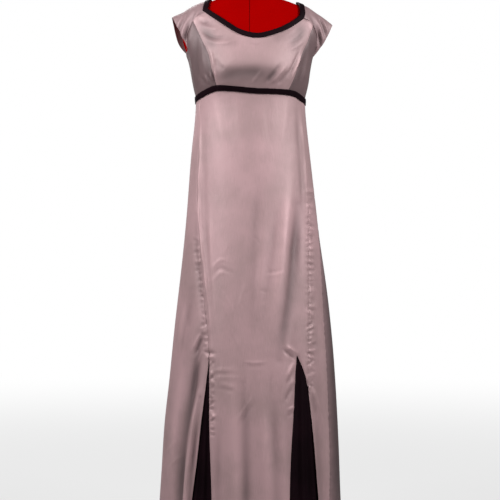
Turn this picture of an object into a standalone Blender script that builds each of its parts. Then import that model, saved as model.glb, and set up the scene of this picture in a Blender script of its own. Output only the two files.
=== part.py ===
import math

import bpy
import numpy as np

# Regency gown on a limbless dress form. Metres, +Z up, the front faces -Y.
# Angles run round the figure in degrees: 0 at the front, 90 at +X, 180 at the back, -90 at -X.
# Names end in _l on the -X side and in _r on the +X side.

# Driving sizes
CLOTH = 0.0015  # thickness of the cloth walls
SEAM = 0.0004  # space between pieces along a seam
SEAT = 0.0027  # outer face of the cloth above the form, where it rests on it
SHOULDER_EDGE = 1.374  # height where the shoulders turn down
SLEEVE_EASE = 0.0010  # how much further a sleeve stands off the shoulder, below its neck
HEM = 0.018  # height of the skirt's hem
APEX = 0.490  # height of the top of the two slits
TONGUE = 0.410  # height where the right slit's diagonal edge meets its seam
FREE_TOP = 1.00  # above this height the skirt's rows follow the band's line
NECK_MIDDLE = (-0.0065, 0.0, 1.450)  # a place inside the form's neck
TRIM = 0.0138  # width of the neck binding and of the band under the bust
TRIM_CLOTH = 0.0012
TRIM_GAP = 0.0016  # between a trim and the cloth it lies on
JOIN = 0.0006  # half the space between bodice and skirt, under the band
RAW_EDGE = 0.0016  # cloth's cut edge, below the folded edge of its binding
SIDE_SEAM = -95.0  # angle of the -X side seam

# Shares of the way up a bodice panel, closer together under the trims
BODICE_ROWS = (0, 0.06, 0.17, 0.30, 0.43, 0.56, 0.68, 0.79, 0.88, 0.95, 1)
COLUMNS_NECK = 12
SLEEVE_SHARES = np.linspace(0, 1, 13)  # a sleeve's columns, from front to back
ROWS_YOKE = 2  # from the neck's corner to the top of the princess seam
ROWS_ARMHOLE = 5  # from there to where the sleeve's hem meets the armhole
SKIRT_ROWS = (
    HEM, 0.07, 0.13, 0.19, 0.25, 0.31, 0.37, TONGUE, 0.45, APEX, 0.55,
    0.62, 0.69, 0.76, 0.83, 0.90, FREE_TOP, 1.06, 1.11, 1.147, 1.16,
)
COLUMNS_FRONT = 14
COLUMNS_TONGUE = 2
COLUMNS_SIDE_FRONT = 11
COLUMNS_BACK = 13
COLUMNS_GODET = 18
BAND_STEPS = 60
FORM_STEPS = 36


class Table:
    # Rows of numbers under named columns, read as smooth curves between the rows

    def __init__(self, columns, rows):
        self.columns = columns.split()
        self.values = np.array(sorted(rows), dtype=float)
        secants = np.diff(self.values, axis=0) / np.diff(self.values[:, :1], axis=0)
        before, after = secants[:-1], secants[1:]
        rising = before * after > 0
        mean = 2 * before * after / np.where(rising, before + after, 1)
        inner = np.where(rising, mean, 0)
        self.slopes = np.vstack([secants[:1], inner, secants[-1:]])

    def read(self, column, key):
        keys = self.values[:, 0]
        key = np.clip(key, keys[0], keys[-1])
        row = np.clip(np.searchsorted(keys, key) - 1, 0, len(keys) - 2)
        which = self.columns.index(column)
        low, high = self.values[row, which], self.values[row + 1, which]
        step = keys[row + 1] - keys[row]
        t = (key - keys[row]) / step
        start, end = self.slopes[row, which] * step, self.slopes[row + 1, which] * step
        return (
            low * (1 + 2 * t) * (1 - t) ** 2
            + start * t * (1 - t) ** 2
            + high * t * t * (3 - 2 * t)
            + end * t * t * (t - 1)
        )


# Level sections of the dress form, from its lower edge to its neck
FORM = Table(
    "height half_width front_depth back_depth centre power",
    [
        (0.720, 0.150, 0.096, 0.106, -0.002, 2.1),
        (0.780, 0.157, 0.102, 0.115, -0.002, 2.1),
        (0.840, 0.158, 0.104, 0.118, -0.002, 2.1),
        (0.900, 0.153, 0.101, 0.112, -0.002, 2.1),
        (0.960, 0.143, 0.096, 0.101, -0.003, 2.1),
        (1.020, 0.130, 0.091, 0.090, -0.004, 2.1),
        (1.070, 0.126, 0.091, 0.087, -0.004, 2.1),
        (1.110, 0.130, 0.096, 0.090, -0.004, 2.1),
        (1.150, 0.1385, 0.103, 0.095, -0.004, 2.2),
        (1.185, 0.1470, 0.115, 0.099, -0.004, 2.25),
        (1.215, 0.1515, 0.120, 0.102, -0.0045, 2.3),
        (1.245, 0.1575, 0.115, 0.103, -0.005, 2.3),
        (1.275, 0.1690, 0.107, 0.101, -0.006, 2.3),
        (1.300, 0.1760, 0.098, 0.098, -0.0065, 2.3),
        (1.325, 0.1770, 0.0885, 0.093, -0.0065, 2.25),
        (1.345, 0.1745, 0.081, 0.087, -0.0065, 2.2),
        (1.360, 0.1690, 0.075, 0.082, -0.0065, 2.2),
        (1.372, 0.1600, 0.071, 0.078, -0.0065, 2.15),
        (1.381, 0.1470, 0.068, 0.074, -0.0065, 2.1),
        (1.391, 0.1235, 0.065, 0.071, -0.0065, 2.05),
        (1.398, 0.1025, 0.0635, 0.069, -0.0065, 2.0),
        (1.404, 0.0845, 0.062, 0.067, -0.0065, 2.0),
        (1.413, 0.0710, 0.060, 0.064, -0.0065, 2.0),
        (1.424, 0.0630, 0.0585, 0.061, -0.0065, 2.0),
        (1.440, 0.0580, 0.057, 0.058, -0.0065, 2.0),
        (1.460, 0.0560, 0.056, 0.056, -0.0065, 2.0),
        (1.492, 0.0560, 0.056, 0.056, -0.0065, 2.0),
    ],
)
BUST = {"rise": 0.028, "height": 1.212, "spread": 0.034, "angle": 27.0, "span": 20.0}

# Level sections of the skirt's outer face, before its folds
SKIRT = Table(
    "height half_width front_depth back_depth centre power",
    [
        (0.018, 0.2380, 0.200, 0.212, -0.004, 2.0),
        (0.104, 0.2327, 0.193, 0.203, -0.0039, 2.0),
        (0.180, 0.2288, 0.188, 0.197, -0.0026, 2.0),
        (0.299, 0.2236, 0.179, 0.188, -0.0020, 2.0),
        (0.416, 0.2145, 0.170, 0.178, 0.0010, 2.0),
        (0.533, 0.2054, 0.160, 0.168, 0.0022, 2.0),
        (0.650, 0.1924, 0.150, 0.158, 0.0022, 2.0),
        (0.767, 0.1781, 0.139, 0.146, 0.0010, 2.0),
        (0.884, 0.1651, 0.127, 0.133, -0.0015, 2.0),
        (1.000, 0.1547, 0.117, 0.117, -0.0040, 2.05),
        (1.079, 0.1453, 0.110, 0.106, -0.0040, 2.1),
        (1.133, 0.1417, 0.106, 0.099, -0.0040, 2.15),
        (1.165, 0.1445, 0.111, 0.100, -0.0040, 2.2),
    ],
)

# Soft folds of the skirt: angle at the hem and at the fold's top, its top, the height below
# which it is full, its depth at the hem (a ridge is positive) and its half width in degrees
FOLD_COLUMNS = ("hem_angle", "top_angle", "top", "full", "depth", "span")
FOLDS = [
    dict(zip(FOLD_COLUMNS, row))
    for row in (
        (-63, -58, 0.62, 0.15, -0.0050, 5.0),
        (-53, -50, 0.70, 0.20, 0.0050, 5.0),
        (-45, -43, 0.60, 0.10, -0.0045, 4.5),
        (-22, -34, 1.00, 0.55, 0.0030, 5.0),
        (-8, -10, 0.55, 0.10, -0.0035, 7.0),
        (4, 3, 0.75, 0.15, 0.0035, 6.0),
        (18, 38, 1.02, 0.70, 0.0045, 6.0),
        (29, 50, 1.00, 0.70, -0.0050, 5.0),
        (52, 52, 0.60, 0.10, 0.0040, 5.0),
        (60, 61, 0.66, 0.10, -0.0040, 5.0),
        (80, 84, 0.80, 0.20, 0.0070, 7.0),
        (97, 99, 0.75, 0.10, -0.0070, 7.0),
        (116, 112, 0.90, 0.20, 0.0080, 8.0),
        (136, 132, 0.80, 0.10, -0.0080, 8.0),
        (156, 152, 0.95, 0.20, 0.0080, 8.0),
        (176, 176, 0.85, 0.15, -0.0070, 7.0),
        (-164, -166, 0.90, 0.20, 0.0075, 7.5),
        (-145, -143, 0.80, 0.10, -0.0080, 8.0),
        (-124, -122, 0.95, 0.15, 0.0085, 8.0),
        (-104, -104, 0.80, 0.10, -0.0065, 7.0),
        (-84, -86, 0.70, 0.10, 0.0050, 7.0),
    )
]

# Front seams and slit edges of the skirt, as the distance from the middle plane at each height
LEFT_SEAM = Table(
    "height x",
    [
        (APEX, -0.1070), (0.538, -0.1104), (0.593, -0.1180), (0.680, -0.1277), (0.726, -0.1315),
        (0.807, -0.1360), (0.875, -0.1435), (0.909, -0.1416), (1.046, -0.1352), (1.160, -0.1330),
    ],
)
LEFT_SLIT_INNER = Table(
    "height x",
    [(HEM, -0.0980), (0.138, -0.1006), (0.225, -0.1039), (0.302, -0.1070), (0.380, -0.1078),
     (APEX, -0.1070)],
)
LEFT_SLIT_OUTER = Table(
    "height x",
    [(HEM, -0.1700), (0.132, -0.1540), (0.221, -0.1410), (0.300, -0.1325), (0.380, -0.1214),
     (APEX, -0.1070)],
)
RIGHT_SEAM = Table(
    "height x",
    [
        (TONGUE, 0.1405), (0.468, 0.1410), (0.595, 0.1443), (0.713, 0.1440), (0.779, 0.1452),
        (0.889, 0.1450), (0.943, 0.1409), (1.041, 0.1360), (1.160, 0.1270),
    ],
)
RIGHT_SLIT_INNER = Table(
    "height x",
    [(HEM, 0.0930), (0.138, 0.0956), (0.225, 0.0984), (0.302, 0.1042), (0.381, 0.1092),
     (0.450, 0.1122), (APEX, 0.1160)],
)
RIGHT_SLIT_OUTER = Table(
    "height x",
    [(HEM, 0.1780), (0.132, 0.1663), (0.221, 0.1585), (0.300, 0.1520), (TONGUE, 0.1405)],
)
RIGHT_SLIT_DIAGONAL = Table("height x", [(TONGUE, 0.1405), (0.450, 0.1324), (APEX, 0.1160)])
ABOVE_RIGHT_SLIT = Table("height x", [(APEX, 0.1160), (0.700, 0.1180), (1.000, 0.1150), (1.160, 0.1020)])
RIGHT_SIDE_SEAM = Table(
    "height angle",
    [(HEM, 63.0), (0.280, 67.0), (0.550, 69.0), (0.740, 78.0), (0.850, 90.0), (1.250, 93.0)],
)

# Middle line of the band under the bust, round the figure
BAND = Table(
    "angle height",
    [(-180, 1.142), (-130, 1.143), (-95, 1.142), (-78, 1.146), (-58, 1.157), (-42, 1.1665),
     (-16, 1.162), (9, 1.1575), (44, 1.1565), (57, 1.154), (70, 1.144), (90, 1.138),
     (130, 1.139), (180, 1.142)],
)

# Free edge of the neck, round the figure
NECK = Table(
    "angle height",
    [(-180, 1.352), (-150, 1.356), (-130, 1.368), (-113, 1.3895), (-90, 1.400), (-76, 1.3965),
     (-67.5, 1.3885), (-63.5, 1.3795), (-61, 1.3675), (-48, 1.3505), (-30, 1.328), (-20, 1.3155),
     (0, 1.3030), (10, 1.2998), (41, 1.3165), (58, 1.3375), (65.5, 1.3510), (69, 1.3655),
     (75, 1.3830), (90, 1.3925), (113, 1.3775), (130, 1.3635), (150, 1.355), (180, 1.352)],
)

# Each side's cut: the princess seam from the band up, and the raglan seams from the neck's
# corner down to where the sleeve's hem meets the armhole, as angles at each height
SIDES = {
    "l": {
        "sign": -1,
        "side_seam": SIDE_SEAM,
        "princess": Table("height angle", [(1.1500, -40.5), (1.2095, -43.7), (1.2455, -47), (1.279, -54),
                                           (1.311, -62), (1.341, -70)]),
        "front_corner": -61.0,
        "front_raglan": Table("height angle", [(1.270, -73), (1.305, -73), (1.323, -71.3), (1.341, -70),
                                               (1.3590, -65.8), (1.3675, -61)]),
        "front_yoke": 1.341,
        "front_join": 1.270,
        "back_corner": -113.0,
        "back_raglan": Table("height angle", [(1.262, -104), (1.285, -106), (1.320, -107), (1.350, -109),
                                              (1.3895, -113)]),
        "back_yoke": 1.350,
        "back_join": 1.262,
        "underarm": 1.262,
        "ridge_start": (-0.1023, 0.000, 1.4020),
        "ridge_end": (-0.2090, -0.004, 1.3590),
        "ridge_rise": 0.000,
        "front_fullness": 1.0,
        "back_fullness": 0.38,
    },
    "r": {
        "sign": 1,
        "side_seam": 93.0,
        "princess": Table("height angle", [(1.1500, 47.5), (1.211, 54), (1.249, 58.7), (1.276, 65),
                                           (1.308, 70.7), (1.332, 76)]),
        "front_corner": 65.5,
        "front_raglan": Table("height angle", [(1.258, 84), (1.276, 83), (1.299, 82), (1.316, 79),
                                               (1.332, 76), (1.3445, 71.5), (1.3510, 65.5)]),
        "front_yoke": 1.332,
        "front_join": 1.258,
        "back_corner": 113.0,
        "back_raglan": Table("height angle", [(1.252, 102), (1.285, 104), (1.320, 105), (1.345, 108),
                                              (1.3775, 113)]),
        "back_yoke": 1.345,
        "back_join": 1.252,
        "underarm": 1.240,
        "ridge_start": (0.1175, 0.000, 1.3935),
        "ridge_end": (0.2095, -0.004, 1.3385),
        "ridge_rise": 0.005,
        "front_fullness": 0.7,
        "back_fullness": 0.7,
    },
}

BASE_RADIUS = 0.140
BASE_HEIGHT = 0.012
POLE_RADIUS = 0.0125
CAP_HEIGHT = 0.014
FIT = 0.0003  # between the form's own pieces


def smooth_step(t):
    t = np.clip(t, 0, 1)
    return t * t * (3 - 2 * t)


def section_radius(table, angle, height):
    # Radius of a rounded section in a direction, which differs in depth front and back
    angle = np.radians(angle)
    ahead = np.cos(angle)
    depth = np.where(ahead > 0, table.read("front_depth", height), table.read("back_depth", height))
    power = table.read("power", height)
    across = np.abs(np.sin(angle)) / table.read("half_width", height)
    return (across**power + (np.abs(ahead) / depth) ** power) ** (-1 / power)


def placed(table, angle, height, radius):
    angle = np.radians(angle)
    x = table.read("centre", height) + radius * np.sin(angle)
    return np.stack([x, -radius * np.cos(angle), height + 0 * x], axis=-1)


def form_radius(angle, height):
    up = np.exp(-(((height - BUST["height"]) / BUST["spread"]) ** 2))
    aside = np.exp(-(((np.abs(angle) - BUST["angle"]) / BUST["span"]) ** 2))
    return section_radius(FORM, angle, height) * (1 + BUST["rise"] * up * aside)


def form_point(angle, height):
    return placed(FORM, angle, height, form_radius(angle, height))


def above_form(points):
    # Distance of points from the form's face, and the way straight out of it there
    def reach(at):
        x = at[..., 0] - FORM.read("centre", at[..., 2])
        angle = np.degrees(np.arctan2(x, -at[..., 1]))
        return np.hypot(x, at[..., 1]) / form_radius(angle, at[..., 2]) - 1

    step = 1e-5
    slope = np.stack(
        [(reach(points + step * axis) - reach(points - step * axis)) / (2 * step) for axis in np.eye(3)],
        axis=-1,
    )
    length = np.linalg.norm(slope, axis=-1)
    return reach(points) / length, slope / length[..., None]


def lifted(points, least, most):
    # Moves points straight in or out until they are as far from the form as wanted
    for _ in range(6):
        gap, out = above_form(points)
        points = points + out * (np.clip(gap, least, most) - gap)[..., None]
    return points


def bodice_ease(height):
    # The cloth rests on the neck, and stands a little away from the shoulders' edge, chest and ribs
    low = smooth_step((1.380 - height) / 0.05)
    edge = np.exp(-(((height - SHOULDER_EDGE) / 0.020) ** 2))
    return SEAT + 0.0014 * low + 0.0015 * edge


def bodice_point(angle, height):
    angle, height = np.broadcast_arrays(np.asarray(angle, float), np.asarray(height, float))
    ease = bodice_ease(height)
    return lifted(form_point(angle, height), ease, ease)


def bodice_near(points):
    # Points brought straight onto the bodice's face
    ease = bodice_ease(points[..., 2])
    return lifted(points, ease, ease)


def bodice_normal(points):
    return above_form(points)[1]


def fold_depth(angle, height):
    total = np.zeros(np.broadcast(angle, height).shape)
    for fold in FOLDS:
        fall = smooth_step((fold["top"] - height) / (fold["top"] - fold["full"]))
        drift = np.clip((height - HEM) / (fold["top"] - HEM), 0, 1)
        middle = fold["hem_angle"] + (fold["top_angle"] - fold["hem_angle"]) * drift
        away = (angle - middle + 180) % 360 - 180
        total = total + fold["depth"] * fall * np.exp(-((away / fold["span"]) ** 2))
    return total


def skirt_point(angle, height):
    angle, height = np.broadcast_arrays(np.asarray(angle, float), np.asarray(height, float))
    radius = section_radius(SKIRT, angle, height) + fold_depth(angle, height)
    points = placed(SKIRT, angle, height, radius)
    return lifted(points, SEAT + 0.0008, 1.0)


def skirt_normal(angle, height):
    along = skirt_point(angle + 0.2, height) - skirt_point(angle - 0.2, height)
    up = skirt_point(angle, height + 0.002) - skirt_point(angle, height - 0.002)
    out = np.cross(along, up)
    return out / np.linalg.norm(out, axis=-1, keepdims=True)


def skirt_angle(x, height):
    # Angle at which the front of the skirt is this far from the middle plane
    x, height = np.broadcast_arrays(np.asarray(x, float), np.asarray(height, float))
    low, high = np.full(x.shape, -89.0), np.full(x.shape, 89.0)
    for _ in range(40):
        middle = (low + high) / 2
        short = placed(SKIRT, middle, height, section_radius(SKIRT, middle, height))[..., 0] < x
        low, high = np.where(short, middle, low), np.where(short, high, middle)
    return (low + high) / 2


def row_height(angle, nominal):
    # The skirt's upper rows follow the joining line under the band
    line = BAND.read("height", angle) - JOIN
    share = np.clip((nominal - FREE_TOP) / (SKIRT_ROWS[-1] - FREE_TOP), 0, 1)
    return np.where(nominal > FREE_TOP, FREE_TOP + share * (line - FREE_TOP), nominal)


def material(name, colour, roughness, metallic=0.0):
    made = bpy.data.materials.get(name) or bpy.data.materials.new(name)
    made.use_nodes = True
    shader = made.node_tree.nodes["Principled BSDF"]
    shader.inputs["Base Color"].default_value = (*colour, 1)
    shader.inputs["Roughness"].default_value = roughness
    shader.inputs["Metallic"].default_value = metallic
    made.diffuse_color = (*colour, 1)
    return made


def satin():
    return material("mauve_satin", (0.40, 0.27, 0.28), 0.42)


def dark_satin():
    return material("aubergine_satin", (0.020, 0.010, 0.014), 0.5)


def form_cover():
    return material("red_jersey", (0.33, 0.004, 0.004), 0.85)


def steel():
    return material("brushed_steel", (0.55, 0.55, 0.56), 0.35, 1.0)


def black_enamel():
    return material("black_enamel", (0.02, 0.02, 0.022), 0.45)


def add_object(name, vertices, faces, finish, sharp=()):
    mesh = bpy.data.meshes.new(name)
    mesh.from_pydata([tuple(v) for v in vertices], [], faces)
    mesh.materials.append(finish)
    mesh.shade_smooth()
    mesh.set_sharp_from_angle(angle=math.radians(40))
    mesh.update()
    thing = bpy.data.objects.new(name, mesh)
    bpy.context.scene.collection.objects.link(thing)
    return thing


def sheet_faces(shape, start, flip):
    faces = []
    for row in range(shape[0] - 1):
        for column in range(shape[1] - 1):
            corner = start + row * shape[1] + column
            face = [corner, corner + 1, corner + shape[1] + 1, corner + shape[1]]
            faces.append(face[::-1] if flip else face)
    return faces


def merged(sheets):
    # One list of points, normals and faces for sheets that share edges
    found, points, normals, faces = {}, [], [], []
    for sheet_points, sheet_normals in sheets:
        shape = sheet_points.shape
        flat, flat_normals = sheet_points.reshape(-1, 3), sheet_normals.reshape(-1, 3)
        index = []
        for point, normal in zip(flat, flat_normals):
            key = tuple(np.round(point, 5))
            if key not in found:
                found[key] = len(points)
                points.append(point)
                normals.append(normal)
            index.append(found[key])
        middle = (shape[0] // 2) * shape[1] + shape[1] // 2
        middle = min(middle, len(flat) - shape[1] - 2)
        facing = np.cross(flat[middle + 1] - flat[middle], flat[middle + shape[1]] - flat[middle])
        flip = np.dot(facing, flat_normals[middle]) < 0
        for face in sheet_faces(shape, 0, flip):
            corners = []
            for corner in (index[c] for c in face):
                if corner not in corners:
                    corners.append(corner)
            if len(corners) > 2:
                faces.append(corners)
    return np.array(points), np.array(normals), faces


def border(faces):
    # Directed edges that only one face uses
    edges = {}
    for face in faces:
        for a, b in zip(face, face[1:] + face[:1]):
            edges[(a, b)] = face
    return [edge for edge in edges if (edge[1], edge[0]) not in edges]


def wall(name, sheets, finish, thickness=CLOTH, inset=SEAM / 2):
    # A closed wall: the outer skin, the same moved inwards, and a rim round every edge
    points, normals, faces = merged(sheets)
    rim = border(faces)
    inward = {}
    for a, b in rim:
        along = points[b] - points[a]
        across = np.cross(normals[a] + normals[b], along)
        across /= np.linalg.norm(across)
        for corner in (a, b):
            inward.setdefault(corner, []).append(across)
    for corner, directions in inward.items():
        total = np.sum(directions, axis=0)
        length = np.linalg.norm(total)
        stretch = min(2.0 / length, 1.6) if length > 1e-6 else 0
        points[corner] = points[corner] + total / max(length, 1e-6) * inset * stretch
    count = len(points)
    inner = points - normals * thickness
    solid = list(faces)
    solid += [[c + count for c in reversed(face)] for face in faces]
    solid += [[b, a, a + count, b + count] for a, b in rim]
    return add_object(name, np.vstack([points, inner]), solid, finish)


def ring(name, sections, finish):
    # A closed wall from equal sections, each a loop of points, joined round the figure
    sections = np.array(sections)
    count, corners = sections.shape[:2]
    faces = []
    for i in range(count):
        for j in range(corners):
            a, b = i * corners + j, i * corners + (j + 1) % corners
            c, d = ((i + 1) % count) * corners + (j + 1) % corners, ((i + 1) % count) * corners + j
            faces.append([a, d, c, b])
    return add_object(name, sections.reshape(-1, 3), faces, finish)


def coons(bottom, top, left, right):
    # Fills the space between four edges; rows run from the bottom edge to the top one
    u = np.linspace(0, 1, len(bottom))[None, :, None]
    v = np.array(BODICE_ROWS)[:, None, None]
    corners = (
        (1 - u) * (1 - v) * bottom[0] + u * (1 - v) * bottom[-1] + (1 - u) * v * top[0] + u * v * top[-1]
    )
    return (
        (1 - v) * bottom[None] + v * top[None] + (1 - u) * left[:, None] + u * right[:, None] - corners
    )


def pairs(angles, heights):
    return np.stack(np.broadcast_arrays(np.asarray(angles, float), np.asarray(heights, float)), axis=-1)


def raw_neck(angle):
    # Height of the cloth's cut edge, just under the fold of the binding
    return NECK.read("height", angle) - RAW_EDGE * (0.70 + 0.30 * np.cos(np.radians(angle)) ** 2)


def bodice_bottom(first, last, count):
    angles = np.linspace(first, last, count + 1)
    return pairs(angles, BAND.read("height", angles) + JOIN)


def neck_edge(first, last, count):
    angles = np.linspace(first, last, count + 1)
    return pairs(angles, raw_neck(angles))


def raglan_edge(side, face):
    # From the neck's corner down to the join, in the sleeve's rows
    corner = side[face + "_corner"]
    start = raw_neck(np.array(corner, float))
    upper = np.linspace(start, side[face + "_yoke"], ROWS_YOKE + 1)
    lower = np.linspace(side[face + "_yoke"], side[face + "_join"], ROWS_ARMHOLE + 1)
    heights = np.concatenate([upper, lower[1:]])
    angles = side[face + "_raglan"].read("angle", heights)
    angles[0] = corner
    return pairs(angles, heights)


def underarm_edge(side, face):
    # From the join to the side seam, round under the arm
    join = raglan_edge(side, face)[-1]
    end = np.array([side["side_seam"], side["underarm"]])
    middle = np.array([join[0] * 0.45 + end[0] * 0.55, join[1] * 0.15 + end[1] * 0.85])
    return np.array([join, middle, end])


def princess_edge(side):
    top = side["front_yoke"]
    guess = side["princess"].read("angle", np.array(1.15))
    low = BAND.read("height", guess) + JOIN
    heights = low + (top - low) * np.array(BODICE_ROWS)
    angles = side["princess"].read("angle", heights)
    angles[-1] = side["front_raglan"].read("angle", top)
    return pairs(angles, heights)


def side_edge(side):
    low = BAND.read("height", side["side_seam"]) + JOIN
    return pairs(side["side_seam"], low + (side["underarm"] - low) * np.array(BODICE_ROWS))


def bodice_panel(name, domain):
    points = bodice_point(domain[..., 0], domain[..., 1])
    return wall(name, [(points, bodice_normal(points))], satin())


def bodice_front():
    left, right = SIDES["l"], SIDES["r"]
    top = np.vstack(
        [
            raglan_edge(left, "front")[: ROWS_YOKE + 1][::-1],
            neck_edge(left["front_corner"], right["front_corner"], COLUMNS_NECK)[1:],
            raglan_edge(right, "front")[1 : ROWS_YOKE + 1],
        ]
    )
    sides = princess_edge(left), princess_edge(right)
    bottom = bodice_bottom(sides[0][0][0], sides[1][0][0], len(top) - 1)
    return bodice_panel("bodice_front", coons(bottom, top, *sides))


def bodice_side_front(key):
    side = SIDES[key]
    top = np.vstack(
        [underarm_edge(side, "front")[::-1], raglan_edge(side, "front")[ROWS_YOKE:][::-1][1:]]
    )
    sides = side_edge(side), princess_edge(side)
    bottom = bodice_bottom(side["side_seam"], sides[1][0][0], len(top) - 1)
    return bodice_panel("bodice_side_front_" + key, coons(bottom, top, *sides))


def bodice_back(key):
    side = SIDES[key]
    middle = 180.0 * side["sign"]
    top = np.vstack(
        [
            neck_edge(middle, side["back_corner"], COLUMNS_NECK // 2),
            raglan_edge(side, "back")[1:],
            underarm_edge(side, "back")[1:],
        ]
    )
    low = BAND.read("height", middle) + JOIN
    seam = pairs(middle, low + (raw_neck(middle) - low) * np.array(BODICE_ROWS))
    bottom = bodice_bottom(middle, side["side_seam"], len(top) - 1)
    return bodice_panel("bodice_back_" + key, coons(bottom, top, seam, side_edge(side)))


def sleeve(key):
    # Rows run from the neck to the hem, columns from the front raglan seam over to the back one
    side = SIDES[key]
    front = raglan_edge(side, "front")
    back = raglan_edge(side, "back")
    front_points = bodice_point(front[:, 0], front[:, 1])
    back_points = bodice_point(back[:, 0], back[:, 1])
    rows = len(front)
    down = np.linspace(0, 1, rows)[:, None, None]
    round_it = math.pi * SLEEVE_SHARES[None, :, None]
    ridge = np.array(side["ridge_start"]) + down * (
        np.array(side["ridge_end"]) - np.array(side["ridge_start"])
    )
    ridge = ridge + np.sin(down * math.pi) * side["ridge_rise"] * np.array([0.4 * side["sign"], 0, 0.9])
    half = (front_points - back_points)[:, None] / 2
    middle = (front_points + back_points)[:, None] / 2
    rise = ridge - middle
    fullness = np.where(round_it < math.pi / 2, side["front_fullness"], side["back_fullness"])
    lift = np.sin(round_it) + 0 * down
    full = lift ** (1 + (fullness - 1) * down)
    arch = middle + half * np.cos(round_it) + rise * np.concatenate([full, lift, lift], axis=2)
    neck_angles = sleeve_angles(side)
    neck = neck_strip(neck_angles, RAW_EDGE)
    blend = smooth_step(down / 0.35)
    points = neck[None] * (1 - blend) + arch * blend
    near = bodice_ease(points[..., 2]) + SLEEVE_EASE * smooth_step(down[..., 0] / 0.25)
    far = near + 0.13 * np.clip(down[..., 0] - 0.2, 0, 1) ** 2
    points = lifted(points, near, far)
    points[0] = neck
    under_trim = neck_strip(neck_angles, TRIM + 0.002)
    turn = smooth_step(np.minimum(SLEEVE_SHARES, 1 - SLEEVE_SHARES) / 0.2)[:, None]
    ends = np.where(SLEEVE_SHARES[:, None] < 0.5, front_points[1], back_points[1])
    points[1] = bodice_near(ends * (1 - turn) + under_trim * turn)
    points[:, 0] = front_points
    points[:, -1] = back_points
    along = np.gradient(points, axis=1)
    outward = np.gradient(points, axis=0)
    free = np.cross(along, outward)
    free *= np.sign(np.sum(free * bodice_normal(points), axis=-1, keepdims=True))
    free /= np.linalg.norm(free, axis=-1, keepdims=True)
    share = np.clip(np.sin(round_it) * 3, 0, 1) * np.clip(down * 2.5, 0, 1)
    normals = bodice_normal(points) * (1 - share) + free * share
    normals /= np.linalg.norm(normals, axis=-1, keepdims=True)
    return wall("sleeve_" + key, [(points, normals)], satin())


def sleeve_angles(side):
    # Places round the sleeve's neck edge, closer together at its two corners
    front = math.cos(math.radians(side["front_corner"]))
    back = math.cos(math.radians(side["back_corner"]))
    depth = front + (back - front) * (1 - np.cos(math.pi * SLEEVE_SHARES)) / 2
    return side["sign"] * np.degrees(np.arccos(depth))


def neck_strip(angles, drop):
    # Points on the cloth this far below the neck's free edge, straight down the cloth
    edge = bodice_point(angles, NECK.read("height", angles))
    before = bodice_point(angles - 1, NECK.read("height", (angles + 179) % 360 - 180))
    after = bodice_point(angles + 1, NECK.read("height", (angles + 181) % 360 - 180))
    down = np.cross(bodice_normal(edge), after - before)
    down /= np.linalg.norm(down, axis=-1, keepdims=True)
    outward = np.sum(down * (edge - np.array(NECK_MIDDLE)), axis=-1, keepdims=True)
    down *= np.sign(outward)
    points = edge + down * drop
    ease = bodice_ease(points[:, 2])
    return lifted(points, ease, ease)


def neck_binding():
    # A folded strip: its leg lies on the cloth and its lip covers the cut edge
    left, right = SIDES["l"], SIDES["r"]
    stretches = [
        np.linspace(left["front_corner"], right["front_corner"], COLUMNS_NECK + 1)[:-1],
        sleeve_angles(right)[:-1],
        np.linspace(right["back_corner"], 180, COLUMNS_NECK // 2 + 1)[:-1],
        np.linspace(-180, left["back_corner"], COLUMNS_NECK // 2 + 1)[:-1],
        sleeve_angles(left)[::-1][:-1],
    ]
    angles = np.concatenate(stretches)
    outline = (
        (TRIM, TRIM_GAP), (TRIM, TRIM_GAP + TRIM_CLOTH), (0, TRIM_GAP + TRIM_CLOTH),
        (0, -CLOTH), (RAW_EDGE / 2, -CLOTH), (RAW_EDGE / 2, TRIM_GAP),
    )
    columns = []
    for drop, height in outline:
        on_cloth = neck_strip(angles, drop)
        columns.append(on_cloth + bodice_normal(on_cloth) * height)
    return ring("neck_binding", np.stack(columns, axis=1), dark_satin())


def under_bust_band():
    angles = np.linspace(-180, 180, BAND_STEPS + 1)[:-1]
    line = BAND.read("height", angles)
    outline = ((-TRIM / 2, TRIM_GAP), (-TRIM / 2, TRIM_GAP + TRIM_CLOTH), (0, TRIM_GAP + 1.4 * TRIM_CLOTH),
               (TRIM / 2, TRIM_GAP + TRIM_CLOTH), (TRIM / 2, TRIM_GAP))
    columns = []
    for rise, height in outline:
        at = line + rise
        below = skirt_point(angles, at)
        upper = bodice_point(angles, at)
        gap = np.maximum(above_form(below)[0], above_form(upper)[0])
        on_cloth = lifted(upper, gap, gap)
        columns.append(on_cloth + bodice_normal(on_cloth) * height)
    return ring("under_bust_band", np.stack(columns, axis=1), dark_satin())


def skirt_sheet(left, right, rows, columns, depth=0.0):
    # A stretch of the skirt between two edges, given as angles at each row
    nominal = np.array(rows)
    first, last = left(nominal), right(nominal)
    share = np.linspace(0, 1, columns + 1)
    angles = first[:, None] + (last - first)[:, None] * share
    heights = row_height(angles, nominal[:, None])
    normals = skirt_normal(angles, heights)
    return skirt_point(angles, heights) - normals * depth, normals


def seam(table):
    return lambda height: skirt_angle(table.read("x", height), height)


def rows_between(low, high):
    return [row for row in SKIRT_ROWS if low - 1e-9 <= row <= high + 1e-9]


def skirt_front():
    upper, lower = rows_between(APEX, 2), rows_between(HEM, APEX)
    sheets = [
        skirt_sheet(seam(LEFT_SEAM), seam(ABOVE_RIGHT_SLIT), upper, COLUMNS_FRONT),
        skirt_sheet(seam(ABOVE_RIGHT_SLIT), seam(RIGHT_SEAM), upper, COLUMNS_TONGUE),
        skirt_sheet(seam(LEFT_SLIT_INNER), seam(RIGHT_SLIT_INNER), lower, COLUMNS_FRONT),
        skirt_sheet(
            seam(RIGHT_SLIT_DIAGONAL), seam(RIGHT_SEAM), rows_between(TONGUE, APEX), COLUMNS_TONGUE
        ),
    ]
    return wall("skirt_front", sheets, satin())


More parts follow.
